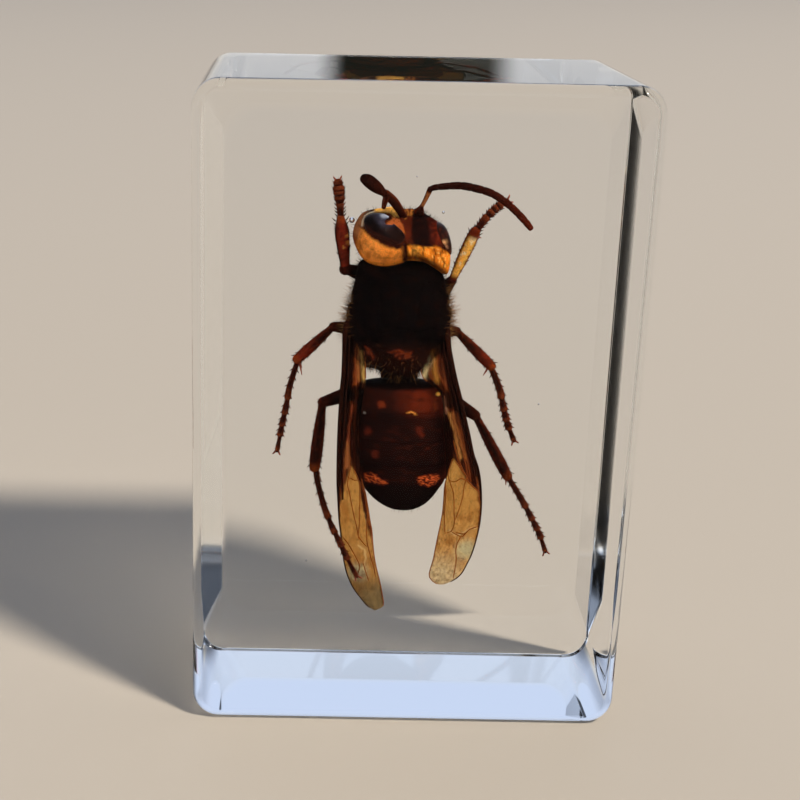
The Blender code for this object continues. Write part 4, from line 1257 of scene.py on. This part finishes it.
legPlans = {
    "leftFore": {
        "root": (-2.4, 2.8, 40.6), "hip": (-3.2, 4.2, 40.0), "knee": (-6.4, 1.4, 42.0),
        "ankle": (-6.98, 0.6, 46.8), "way": ((-7.1, 0.6, 48.3), (-7.2, 0.6, 49.2), (-7.3, 0.6, 50.0)),
        "thigh": 0.62, "shin": 0.6, "foot": 0.4, "glow": 0.35, "red": 1.0, "splay": 1.4,
        "kneeWidth": 0.98, "ankleWidth": 0.62, "darkEdges": 0.8,
        "spots": ((-6.35, 45.25, 0.15), (-6.25, 44.6, 0.22), (-6.6, 44.2, 0.1)),
    },
    "rightFore": {
        "root": (0.1, 2.7, 39.1), "hip": (2.2, 4.0, 38.2), "knee": (3.5, 1.6, 41.1),
        "ankle": (5.3, 0.8, 45.8), "way": ((6.2, 1.0, 47.0), (7.2, 1.2, 48.0), (8.0, 1.4, 48.5)),
        "spur": (5.9, 0.9, 45.2), "thigh": 0.6, "shin": 0.52, "foot": 0.36, "lit": True,
    },
    "leftMid": {
        "root": (-2.2, 2.8, 36.6), "hip": (-3.0, 4.4, 34.9), "knee": (-7.4, 0.6, 36.6),
        "ankle": (-10.7, 1.5, 33.2),
        "way": ((-11.3, 2.0, 30.6), (-11.6, 2.2, 28.6), (-12.0, 2.4, 26.5), (-12.4, 2.6, 24.0)),
        "spur": (-10.2, 1.6, 31.7), "thigh": 0.6, "shin": 0.48, "foot": 0.3, "red": 0.8, "glow": 0.3,
    },
    "rightMid": {
        "root": (-0.4, 2.8, 36.6), "hip": (0.4, 4.4, 34.9), "knee": (4.1, 0.6, 36.4),
        "ankle": (7.6, 1.5, 32.9), "way": ((8.5, 2.0, 30.7), (9.4, 2.3, 27.5), (10.2, 2.5, 25.5)),
        "spur": (6.9, 1.6, 32.0), "thigh": 0.6, "shin": 0.48, "foot": 0.34, "red": 0.6, "glow": 0.3,
    },
    "leftHind": {
        "root": (-1.7, 2.6, 34.2), "hip": (-1.9, 4.3, 30.0), "knee": (-8.2, 0.6, 29.2),
        "ankle": (-8.8, 1.6, 22.4),
        "way": ((-8.42, 1.3, 20.71), (-8.11, 1.0, 19.55), (-7.4, 0.0, 17.75), (-6.81, -1.5, 16.7),
            (-6.22, -2.6, 15.77), (-5.51, -2.9, 14.29), (-4.6, -2.9, 12.54)),
        "spur": (-8.1, 1.7, 21.0), "thigh": 0.68, "shin": 0.54, "foot": 0.31, "glow": 0.3,
    },
    "rightHind": {
        "root": (-0.6, 2.6, 34.2), "hip": (0.2, 4.4, 30.6), "knee": (6.3, 0.6, 28.2),
        "ankle": (9.8, 1.6, 21.9),
        "way": ((11.2, 1.9, 19.7), (12.3, 2.1, 17.8), (13.4, 2.3, 15.7), (14.0, 2.4, 14.1)),
        "spur": (9.7, 1.7, 21.0), "thigh": 0.68, "shin": 0.5, "foot": 0.31, "glow": 0.2,
    },
}
legDefaults = {"spur": None, "red": 0, "darkEdges": 0, "splay": 1, "kneeWidth": 0.74, "ankleWidth": 0.94,
               "spots": (), "lit": False}
footEnds = (0.44, 0.60, 0.73, 0.84, 1.0)      # where each foot section ends


def onRun(run, share):
    steps = np.linalg.norm(np.diff(run[:, :3], axis=0), axis=1)
    reach = np.concatenate([[0], np.cumsum(steps)]) / steps.sum()
    return np.array([np.interp(share, reach, run[:, k]) for k in range(3)])


def unit(vector):
    return vector / np.linalg.norm(vector)


# Each paint gives the base colour and the layers of one kind of limb.

def darkPaint(points, shares, edges):
    # painted rim light: a lighter, redder colour along the sides seen in front
    return "#1a0a07", (("#3a150c", 0.7 * edges ** 2),)


def footPaint(points, shares, edges):
    # painted rim light: a lighter, redder colour along the sides seen in front
    return "#2c110b", (("#6a2814", 0.75 * edges ** 2), ("#8a3e20", 0.6 * smoothStep(0.7, 1.0, shares)),
                       ("#180907", 0.6 * clouds(points, 0.3, 0.2, 0.7)))


def clawPaint(points, shares, edges):
    return "#7a3220", (("#b8705c", 0.6 * shares),)


def thighPaint(points, shares, edges):
    # painted rim light: a lighter colour along the sides seen in front
    return "#130706", (("#34130a", 0.8 * edges ** 2), ("#34120a", 0.5 * clouds(points, 0.5, 0.1, 0.7)),
                       ("#5a200e", 0.3 * smoothStep(0.86, 1.0, shares)))


# The right fore shin is lit through: a painted amber glow in its middle with pale painted highlights,
# leaving darker painted rims along its sides.
def litShinPaint(points, shares, edges):
    middle = smoothStep(0.08, 0.2, shares) * (1 - smoothStep(0.82, 0.95, shares))
    core = middle * (1 - smoothStep(0.6, 0.95, edges + 0.25 * clouds(points, 0.3, 0.2, 0.7)))
    return "#6e2610", (("#ffb84e", core),
                       ("#ffe8b0", 0.9 * core * clouds(points, 0.4, 0.15, 0.6, (1, 1, 0.5))))


def shinPaint(plan):
    def paint(points, shares, edges):
        rust = clouds(points, 0.45, 0.0, 0.7)
        redder = plan["red"] * (0.9 - 0.35 * rust) * smoothStep(0.35, 0.85, shares + plan["darkEdges"])
        # painted light: a lighter rim along the sides seen in front, a darker painted rim where darkEdges
        # asks, and a painted glow near the ankle
        layers = [("#8e2c18", redder), ("#6a2412", 0.7 * edges ** 2), ("#6a2810", 0.45 * rust),
                  ("#1c0a07", plan["darkEdges"] * smoothStep(0.5, 0.95, edges)),
                  ("#1c0a07", 0.6 * clouds(points + 5, 0.35, 0.1, 0.6)),
                  ("#944018", plan["glow"] * 2 * smoothStep(0.86, 1.0, shares))]
        for *place, radius in plan["spots"]:
            seen = ragged(asSeen(points, headPlan), points, 0.2, 0.12)
            layers.append(("#d8873c", 0.9 * disc(seen, place, radius, 0.07)))
        return "#1c0a07", layers

    return litShinPaint if plan["lit"] else paint


def makeLeg(name, plan, cuticle):
    plan = {**legDefaults, **plan}
    root, hip, knee, ankle = (np.array(plan[key], dtype=float) for key in ("root", "hip", "knee", "ankle"))
    bundle = newBundle()

    def limb(run, count, paint, sides=16, flat=1.0, hair=1.0):
        addLimb(bundle, smoothRun([(*place, width) for place, width in run], count), sides, paint, flat, hair)

    def thorn(place, along, side, length, width=0.055):
        aim = along * 0.72 + unit(np.cross(along, (0, 1, 0)) * side) * 0.62 + np.array((0, -0.12 * side, 0))
        limb([(place, width), (place + aim * length * 0.55, width * 0.75), (place + aim * length, 0.014)],
             5, footPaint, 7, hair=0.0)

    thigh, shin, foot = plan["thigh"], plan["shin"], plan["foot"]
    limb([(root, thigh * 1.6), (root * 0.5 + hip * 0.5 + np.array((0, 0.15, 0)), thigh * 1.35),
          (hip, thigh * 1.05)], 24, darkPaint, 20)
    start, bend = hip + (knee - hip) * 0.02, np.array((0.0, 0.0, 0.25))
    limb([(start, thigh * 0.75), (start * 0.72 + knee * 0.28 + bend * 0.6, thigh * 1.0),
          (start * 0.4 + knee * 0.6 + bend, thigh * 1.06),
          (start * 0.12 + knee * 0.88 + bend * 0.4, thigh * 0.86), (knee, thigh * plan["kneeWidth"])],
         54, thighPaint, 24)
    limb([(knee + (ankle - knee) * -0.03, shin * 0.72), (knee * 0.88 + ankle * 0.12, shin * 0.74),
          (knee * 0.6 + ankle * 0.4, shin * 0.96), (knee * 0.25 + ankle * 0.75, shin * 1.08),
          (ankle, shin * plan["ankleWidth"])], 64, shinPaint(plan), 28, hair=1.6)
    down = unit(ankle - knee)
    across = np.cross(down, (0, 1, 0))
    for number, t in enumerate((0.3, 0.42, 0.55, 0.66, 0.78, 0.88, 0.96)):
        for side in (-1, 1):
            if (number + (side > 0)) % 2 or t > 0.8:
                place = knee + (ankle - knee) * t + across * side * shin * 0.85
                thorn(place, down, side, 0.34 + 0.12 * (t > 0.9))
    heel = ankle + (knee - ankle) * 0.05
    way = smoothRun([heel, *plan["way"]], 60)
    begin = 0.0
    for number, end in enumerate(footEnds):
        first, last = number == 0, number == len(footEnds) - 1
        places = [onRun(way, begin + (end - begin) * t) for t in (0.0, 0.3, 0.75, 1.0)]
        widths = ((0.8, 0.85, 0.95, 1.08) if first else (0.55, 0.62, 0.72, 0.8) if last
                  else (0.62, 0.78, 0.98, 1.1))
        grown = 1 + (plan["splay"] - 1) * (-0.4 if first else number / 4)
        limb([(place, foot * width * grown) for place, width in zip(places, widths)],
             30 if first else 18, footPaint, 16, flat=0.85, hair=2.2)
        along = unit(places[3] - places[0])
        across = np.cross(along, (0, 1, 0))
        for t in () if last else (0.3, 0.5, 0.7, 0.95) if first else (0.55, 0.95):
            for side in (-1, 1):
                place = onRun(way, begin + (end - begin) * t) + across * side * foot * 0.8
                thorn(place, along, side, 0.36, 0.06)
        begin = end - 0.012
    tip, ahead = way[-1], unit(way[-1] - way[-4])
    for side in (-1, 1):
        out = np.array(Matrix.Rotation(math.radians(side * 32), 3, "Y")) @ ahead
        limb([(tip - ahead * 0.1, 0.12), (tip + out * 0.3, 0.1), (tip + out * 0.6, 0.075),
              (tip + out * 0.72 + np.array((0, 0.25, 0)), 0.03)], 16, clawPaint, 10, hair=0.0)
    limb([(tip - ahead * 0.05, 0.14), (tip + ahead * 0.22, 0.16)], 8, darkPaint, 12, flat=0.6, hair=0.0)
    if plan["spur"]:
        spur = np.array(plan["spur"])
        other = spur + (heel - spur) * 0.35 + np.array((0.12, 0.25, 0.05))
        limb([(heel, 0.13), ((heel + spur) / 2 + np.array((0, -0.05, 0)), 0.1), (spur, 0.035)],
             14, clawPaint, 10, hair=0.0)
        limb([(heel, 0.11), ((heel + other) / 2, 0.08), (other, 0.03)], 12, clawPaint, 10, hair=0.0)
    return bundlePiece(name + "Leg", bundle, cuticle)


# Wings: long sheets folded lengthwise like a fan, with dark front edges and raised veins

wingPlans = {
    "left": {
        "outer": ((-5.2, 38.0), (-6.05, 37.3), (-6.29, 36.69), (-6.31, 35.86), (-6.32, 34.12),
            (-6.36, 32.37), (-6.47, 31.03), (-6.54, 29.35), (-6.6, 27.55), (-6.63, 25.68),
            (-6.63, 23.81), (-6.6, 21.93), (-6.51, 20.4), (-6.34, 18.08), (-6.13, 16.51),
            (-5.95, 14.92), (-5.63, 13.05), (-5.25, 11.83), (-4.73, 10.74), (-3.96, 9.65),
            (-3.32, 8.83), (-2.57, 8.36)),
        "inner": ((-4.4, 37.4), (-4.55, 36.7), (-4.6, 35.9), (-4.5, 34.67), (-4.35, 33.36),
            (-4.3, 31.75), (-4.5, 30.11), (-4.65, 28.17), (-4.68, 26.21), (-4.57, 24.23),
            (-4.43, 22.73), (-4.22, 21.72), (-3.98, 21.09), (-3.78, 20.07), (-3.6, 19.17),
            (-3.38, 17.88), (-3.2, 17.1), (-3.1, 16.05), (-2.9, 14.45), (-2.6, 12.97), (-2.21, 11.49),
            (-1.93, 10.12), (-1.8, 8.94), (-2.57, 8.36)),
        "root": (-5.2, -0.9, 38.2),
        "veins": (((-5.4, 23.62), (-5.68, 21.95), (-5.47, 20.93), (-5.26, 19.91), (-4.98, 18.63),
            (-4.71, 17.59), (-4.51, 16.55), (-4.43, 16.15)), ((-5.21, 23.42), (-4.81, 22.62),
            (-4.56, 21.97), (-4.47, 20.44), (-4.46, 18.9), (-4.45, 17.6), (-4.51, 16.55)),
            ((-3.84, 20.51), (-3.7, 19.17), (-3.71, 18.03), (-3.74, 17.09), (-3.64, 15.93),
            (-3.42, 14.98), (-3.15, 14.04), (-2.87, 13.11), (-2.67, 12.08)), ((-4.52, 16.54),
            (-4.06, 15.89), (-3.62, 15.37)), ((-6, 16.38), (-5.5, 15.73), (-5.11, 15.07), (-4.6, 14.15),
            (-4.27, 13.35), (-4.38, 12.48)), ((-5.76, 22.6), (-5.22, 22.33), (-4.75, 22.22)),
            ((-3.94, 13.68), (-3.61, 12.6), (-3.34, 11.74))),
        "pale": ((-5.38, 23.82), (-5.84, 22.4), (-6.09, 21.18), (-6.35, 20.05), (-6.4, 17.0),
            (-6.1, 14.4), (-5.5, 12.1), (-4.6, 10.0), (-3.6, 8.6), (-2.4, 7.8), (-1.7, 8.6),
            (-2.3, 12.0), (-2.9, 15.0), (-3.6, 17.5), (-4.3, 20.2), (-4.6, 22.0)),
        "darkest": ((-6.7, 37.5), (-5.4, 37.5), (-5.45, 33.0), (-5.65, 28.5), (-6.1, 24.5),
            (-6.4, 20.0), (-6.8, 20.0)),
        # pale painted highlights along creases in the membrane
        "creaseHighlights": (((-4.06, 20.1), (-3.88, 18.7), (-3.62, 17.5)), ((-4.48, 15.5), (-3.9, 15.2),
            (-3.67, 14.1), (-3.99, 13.0))),
        "spots": ((-4.98, 21.1, 0.12), (-5.76, 20.1, 0.1), (-5.21, 18.1, 0.16), (-3.95, 12.4, 0.4)),
        "folds": ((((-5.5, 35.0), (-5.3, 33.8), (-5.11, 32.54), (-5.17, 31.7)), 0.24, "#b0582c"),
            (((-5.05, 35.2), (-5.05, 33.65), (-4.94, 32.0)), 0.1, "#d08a48"), (((-4.84, 34.75),
            (-4.6, 33.38), (-4.44, 31.9)), 0.17, "#f0c470"), (((-5.51, 29.62), (-5.58, 28.88),
            (-5.69, 28.14), (-5.78, 27.03), (-5.81, 26.0)), 0.16, "#b45838"), (((-5.81, 25.9),
            (-5.8, 24.85), (-5.83, 23.6)), 0.24, "#c47a44"), (((-5.47, 26.41), (-5.14, 25.18),
            (-4.82, 24.43), (-4.68, 23.62)), 0.08, "#8a4a3c")),
        "hidden": ((-4.96, 31.2), (-4.9, 29.5), (-4.84, 27.66), (-4.79, 25.18), (-4.61, 23.0),
            (-3.4, 23.0), (-3.4, 31.4)),
        "streaks": 4.3, "tip": (-2.3, 9.4), "tipTone": "#cdb078", "lowTone": "#d8a058",
        # bright: a painted orange highlight along the inner edge
        "hiddenTone": "#180806", "bright": ((-4.1, 21.9), (-3.75, 20.9), (-3.45, 19.0), (-3.3, 17.8)),
        "clear": (-4.4, 12.6, 0.9),
        "edgeWidths": ((0, 0.1, 0.5, 0.68, 0.85, 1), (0.34, 0.26, 0.16, 0.1, 0.065, 0.05)),
    },
    "right": {
        "outer": ((2.4, 37.6), (3.0, 36.9), (3.19, 35.86), (3.29, 35.13), (3.57, 33.96), (3.86, 32.79),
            (4.2, 31.6), (4.54, 30.49), (5.11, 28.38), (5.54, 26.82), (5.91, 25.35), (6.12, 24.7),
            (6.46, 23.86), (6.76, 22.71), (6.95, 21.45), (7.08, 19.92), (7.07, 18.36), (6.96, 17.21),
            (6.74, 15.86), (6.46, 14.66), (6.04, 13.57), (5.62, 12.61), (4.93, 11.92), (4.1, 11.48)),
        "inner": ((1.6, 37.0), (1.8, 36.2), (1.75, 35.37), (1.2, 34.3), (0.8, 33.3), (1.0, 32.4),
            (1.9, 31.6), (2.7, 30.85), (3.0, 29.5), (3.12, 27.85), (3.33, 26.38), (3.5, 24.9),
            (3.6, 23.4), (3.58, 22.14), (3.5, 21.63), (3.5, 20.35), (3.46, 19.07), (3.33, 17.89),
            (3.16, 16.71), (2.98, 15.38), (2.81, 14.04), (2.57, 12.96), (2.51, 12.3), (2.87, 11.76),
            (3.5, 11.41), (4.1, 11.48)),
        "root": (2.6, -0.9, 37.8),
        "veins": (((4.17, 24.61), (3.89, 23.61), (3.79, 22.9), (4.07, 22.02), (4.36, 21.14),
            (4.48, 20.12), (4.53, 19.09), (4.63, 18.31), (4.54, 17.65), (4.33, 17.2), (3.86, 16.93)),
            ((4.37, 24.42), (4.98, 23.53), (5.49, 22.84), (5.47, 22.43), (5.34, 21.67), (5.27, 20.77),
            (5.08, 19.87), (4.83, 18.96), (4.63, 18.31)), ((3.81, 22.4), (4.48, 22.31), (5.03, 22.63),
            (5.51, 22.43), (6.16, 21.84), (6.76, 21.34)), ((3.6, 22.09), (3.66, 20.36), (3.64, 18.81),
            (3.73, 17.25), (3.86, 16.93)), ((4.33, 17.2), (4.76, 16.95), (5.26, 16.62), (5, 15.96),
            (4.92, 15.16), (5.02, 14.09), (4.93, 13.01), (4.84, 12.14)), ((4.75, 17.16), (5.34, 16.97),
            (5.72, 16.97), (6.06, 17.36), (6.53, 17.57), (6.92, 17.73)), ((5.72, 16.97), (5.54, 16.71),
            (5.26, 16.62)), ((4.08, 26.4), (4.59, 24.67), (5.12, 23.55), (5.65, 22.56))),
        "pale": ((4.2, 24.7), (3.75, 23.4), (3.55, 22.2), (3.5, 19.0), (3.2, 17.0), (2.9, 14.5),
            (2.4, 12.6), (2.8, 11.4), (4.2, 11.3), (5.6, 12.3), (6.5, 14.4), (6.9, 17.0), (6.95, 20.0),
            (6.7, 21.3), (6.0, 22.0), (5.4, 22.7), (4.9, 23.6)),
        "darkest": ((2.6, 37.5), (3.4, 36.0), (4.0, 32.5), (5.2, 28.0), (6.4, 23.8), (7.0, 22.5),
            (6.9, 21.8), (6.2, 23.3), (5.2, 26.5), (4.4, 29.0), (3.2, 32.0), (2.5, 35.0)),
        # pale painted highlights along creases in the membrane
        "creaseHighlights": (((4.2, 17.3), (4.9, 16.8), (5.2, 16.95), (6.7, 17.65)), ((5.3, 15.0), (5.95, 14.5)),
            ((3.25, 16.2), (3.25, 16.0)), ((2.7, 13.2), (3.4, 13.4), (4.4, 13.2))),
        "spots": ((6.05, 18.4, 0.3), (4.1, 15.0, 0.2)),
        "folds": ((((1.75, 34.9), (2.0, 33.6), (2.2, 32.7), (2.3, 31.94)), 0.24, "#c88a3c"),
            (((2.86, 34.77), (3.0, 33.3), (3.13, 32.71), (3.23, 31.4)), 0.2, "#a85a34"), (((3.1, 30.56),
            (3.19, 29.8), (3.33, 28.96)), 0.12, "#f0b890"), (((2.86, 29.3), (3.01, 28.67)), 0.1,
            "#e0b878"), (((3.58, 28.96), (3.94, 27.85), (4.26, 26.79), (4.58, 25.73), (4.91, 24.67)),
            0.15, "#d09450"), (((3.91, 28.97), (4.27, 27.85), (4.63, 26.8), (4.98, 25.74),
            (5.34, 24.68)), 0.14, "#b06a34"), (((1.44, 34.06), (1.2, 33.23), (1.1, 32.5)), 0.3,
            "#f4e0a8")),
        "hidden": ((2.6, 31.0), (3.2, 30.2), (3.47, 29.1), (3.8, 27.84), (4.12, 26.79), (4.23, 25.73),
            (4.1, 24.65), (3.95, 23.6), (3.0, 23.4), (2.6, 27.0)),
        "streaks": 4.0, "tip": (3.5, 12.2), "tipTone": "#f8e4b8", "lowTone": "#f4c078",
        # bright: a painted orange highlight near the inner edge
        "hiddenTone": "#4a1a10", "bright": ((2.75, 17.3), (2.85, 16.9), (2.95, 16.4)),
        "clear": (5.9, 15.2, 1.0),
        "edgeWidths": ((0, 0.1, 0.5, 0.68, 0.85, 1), (0.34, 0.26, 0.16, 0.1, 0.065, 0.05)),
    },
}


def wingDepth(z):
    return -2.5 + 0.0052 * (z - 23.0) ** 2


def wingTone(seen, front, phase, v, plan):
    rough = ragged(seen, front, 0.5, 0.12)
    dark = 1 - insideLoop(rough, plan["pale"], 0.14)
    streak = (0.5 + 0.5 * np.sin(phase + 1.2)).reshape(-1)
    fineStreak = (0.5 + 0.5 * np.sin(2.7 * phase + 6 * v)).reshape(-1)
    tip = 1 - smoothStep(0.6, 3.4, np.linalg.norm(rough - np.array(plan["tip"]), axis=1))
    crumples = ridge(clouds(front, 0.45, -1, 1) - 0.5, 0.04)
    return painted(len(front), "#e2aa5a", [
        (plan["lowTone"], 0.7 * smoothStep(20.0, 14.0, seen[:, 1])),
        ("#c98c42", 0.6 * clouds(front, 0.5, -0.2, 0.6, (1, 1, 0.35))),
        ("#b8722e", 0.6 * clouds(front, 1.3, 0.1, 0.7)),
        (plan["tipTone"], 0.85 * tip), ("#b89a68", 0.7 * tip * clouds(front, 0.35, -0.1, 0.5)),
        ("#e4e2b8", 0.8 * disc(rough, plan["clear"][:2], plan["clear"][2], 0.6)),
        ("#7a4218", 0.75 * clouds(front, 0.11, 0.5, 0.75)), ("#a8763a", 0.7 * crumples),
        *(("#8a3c14", 0.6 * disc(rough, place, radius * 0.7, radius)) for *place, radius in plan["spots"]),
        # painted highlights along the creases
        *(("#f8dca0", 0.75 * stroke(rough, run, 0.08)) for run in plan["creaseHighlights"]),
        ("#7a3418", dark), ("#a85a2c", dark * streak * (1 - fineStreak) * 0.8),
        ("#3a140a", dark * smoothStep(0.35, 0.75, 1 - streak) * 0.9),
        ("#461a0c", dark * smoothStep(0.6, 0.9, fineStreak) * 0.5),
        (plan["hiddenTone"], insideLoop(rough, plan["hidden"], 0.1)),
        *((tint, 0.9 * stroke(rough, run, wide)) for run, wide, tint in plan["folds"]),
        # painted highlight: the orange line near the inner edge
        ("#ff9c38", 0.9 * stroke(seen, plan["bright"], 0.16)),
        ("#260d07", insideLoop(rough, plan["darkest"], 0.14))])


def makeWing(side, plan, membrane, ribMaterials, ringed):
    across, along = 72, 340
    outer, inner = (smoothRun(plan[key], along) for key in ("outer", "inner"))
    width = np.linalg.norm(inner - outer, axis=1)[:, None]
    u = np.linspace(0, 1, across)[None, :]
    v = np.linspace(0, 1, along)[:, None]
    flat = outer[:, None, :] + (inner - outer)[:, None, :] * u[..., None]
    x, z = flat[..., 0], flat[..., 1]
    # fan folds run lengthwise: deep at the root, gone past the middle
    phase = u * plan["streaks"] * 2 * math.pi + 0.6 * np.sin(9 * v) + 0.8 * np.sin(4 * v + 2)
    fold = (0.14 * np.sin(phase) + 0.07 * np.sin(2.3 * phase + 5 * v)) * (1 - smoothStep(0.3, 0.75, v))
    wave = 0.10 * np.sin(3.1 * u * math.pi + 7 * v) * smoothStep(0.3, 0.8, v)
    crumple = 0.03 * np.sin(23 * u + 31 * v) * np.sin(17 * v + 5 * u)
    hollow = -0.25 * np.sin(math.pi * u) * np.clip(width / 2.6, 0, 1)
    depth = wingDepth(z) + (fold + wave + crumple) * np.clip(width / 1.5, 0, 1) + hollow
    lift = smoothStep(0.10, 0.0, v)            # the root joins the thorax's side
    middle = np.stack([x, depth * (1 - lift) + plan["root"][1] * lift, z], axis=-1)
    normal = np.cross(np.gradient(middle, axis=1), np.gradient(middle, axis=0))
    normal /= np.maximum(lengths(normal), 1e-9)[..., None]
    normal *= np.where(normal[..., 1:2] > 0, -1, 1)
    half = 0.035 * np.clip(np.minimum(u, 1 - u) * 12, 0.25, 1) * np.ones_like(x)
    front, back = (((middle + normal * half[..., None] * way).reshape(-1, 3)) for way in (1, -1))
    points = np.vstack([front, back])
    offset = len(front)
    faces = []
    for a in (row * across + col for row in range(along - 1) for col in range(across - 1)):
        b = a + across
        faces += [(a, a + 1, b + 1, b), (offset + a, offset + b, offset + b + 1, offset + a + 1)]
    number = np.arange(offset).reshape(along, across)
    rim = [*number[0], *number[1:, -1], *number[-1, -2::-1], *number[-2:0:-1, 0]]
    faces += [(b, a, offset + a, offset + b) for a, b in zip(rim, rim[1:] + rim[:1])]
    seen = np.stack([x, z], axis=-1).reshape(-1, 2)
    tone = wingTone(seen, front, phase, v, plan)
    hornetPiece(meshPiece(side + "Wing", points, outwardFaces(points, faces), membrane,
                          np.vstack([tone, tone])))

    def onWing(place):
        gap = np.linalg.norm(seen - np.array(place), axis=1)
        nearest = np.argpartition(gap, 6)[:6]
        weight = 1 / (gap[nearest] + 0.01)
        return (front[nearest, 1] * weight).sum() / weight.sum()

    veins = []
    for run in plan["veins"]:
        smooth = smoothRun(run, max(12, len(run) * 5))
        ends = np.minimum(np.linspace(0, 1, len(smooth)), np.linspace(1, 0, len(smooth)))
        veins.append([(px, onWing((px, pz)) - 0.01, pz, 0.05 * min(1, 0.5 + 6 * end))
                      for (px, pz), end in zip(smooth, ends)])
    # the inner edge's rib, but not over the abdomen
    for part in (inner[inner[:, 1] > 31.8][30::6], inner[inner[:, 1] < 22.4][:-6:6]):
        veins.append([(px, onWing((px, pz)), pz, 0.045) for px, pz in part])
    rise = np.linspace(0, 1, len(outer[4:-4:4]))
    thick = np.interp(rise, *plan["edgeWidths"])
    frontEdge = [(px, wingDepth(pz) * (1 - t) + plan["root"][1] * t, pz, r)
                 for (px, pz), r, t in zip(outer[4:-4:4], thick, 1 - smoothStep(0, 0.08, rise))]
    second = (outer + (inner - outer) * (0.42 / np.maximum(width, 0.5)))[24:200:6]
    edges = [frontEdge, [(px, onWing((px, pz)) - 0.01, pz, 0.085) for px, pz in second]]
    for name, lines in (("Veins", veins), ("FrontEdge", edges)):
        tubePiece(side + "Wing" + name, lines, ringed, {
            "Joints": 1.0, "Pinch": 0.0, "Pinch width": 0.1, "Steps": 90, "Sides": 8,
            "Material": ribMaterials[name]})
    print(side, "wing made")


makeCamera(cameraPlan)
makeStage(stagePlan)
makeBlock(blockPlan)

cuticle = cuticleMaterial(cuticleLook)
ribMaterials = {
    "Veins": bristleMaterial("wing vein, thin brown cuticle", "#6e3212", "#9a5420"),
    "FrontEdge": bristleMaterial("wing front edge, thick dark cuticle", "#0d0504", "#341409")}
darkHair = bristleMaterial("body bristle, nearly black", "#070403", "#1c0d07")
legHair = bristleMaterial("leg bristle, dark brown", "#1c0c07", "#5a2c14")
goldHair = bristleMaterial("fringe hair, golden brown", "#4a2814", "#a87440")
ringed = ringedTubeTree()

head = makeHead(headPlan, cuticle, eyeMaterial())
thorax = makeThorax(thoraxPlan, cuticle)
abdomen = makeAbdomen(abdomenPlan, cuticle)
makeAntennae(antennaPlan, cuticle, ringed)
legs = [makeLeg(name, plan, cuticle) for name, plan in legPlans.items()]
print("legs made")
membrane = membraneMaterial()
for side, plan in wingPlans.items():
    makeWing(side, plan, membrane, ribMaterials, ringed)

bristlePlan = {
    "thoraxBristles": {
        "skins": [thorax], "where": "hairiness", "perSquareMm": 14, "length": 0.6, "lengthSpread": 0.55,
        "radius": 0.02, "lean": 0.6, "leanSpread": 0.35, "bend": 6.0, "seed": 4, "material": darkHair,
    },
    "thoraxFringe": {
        "skins": [thorax], "where": "fringe", "perSquareMm": 20, "length": 1.2, "lengthSpread": 0.6,
        "radius": 0.015, "lean": 0.35, "leanSpread": 0.45, "bend": 7.0, "seed": 31, "material": goldHair,
    },
    "headBristles": {
        "skins": [head], "where": "hairiness", "perSquareMm": 8, "length": 0.5, "lengthSpread": 0.5,
        "radius": 0.018, "lean": 0.0, "leanSpread": 0.4, "bend": 4.0, "seed": 9, "material": darkHair,
    },
    "abdomenBristles": {
        "skins": [abdomen], "where": "hairiness", "perSquareMm": 9, "length": 0.4, "lengthSpread": 0.5,
        "radius": 0.012, "lean": 1.2, "leanSpread": 0.3, "bend": 3.0, "seed": 12, "material": darkHair,
    },
    "legBristles": {
        "skins": legs, "where": "hairiness", "perSquareMm": 12, "length": 0.3, "lengthSpread": 0.55,
        "radius": 0.014, "lean": 1.1, "leanSpread": 0.3, "bend": 3.0, "seed": 21, "material": legHair,
    },
}
bristles = {place: bristleTree(place) for place in ("hairiness", "fringe")}
for name, look in bristlePlan.items():
    bristlePiece(name, look, bristles[look["where"]])

scene.view_settings.view_transform = "Standard"
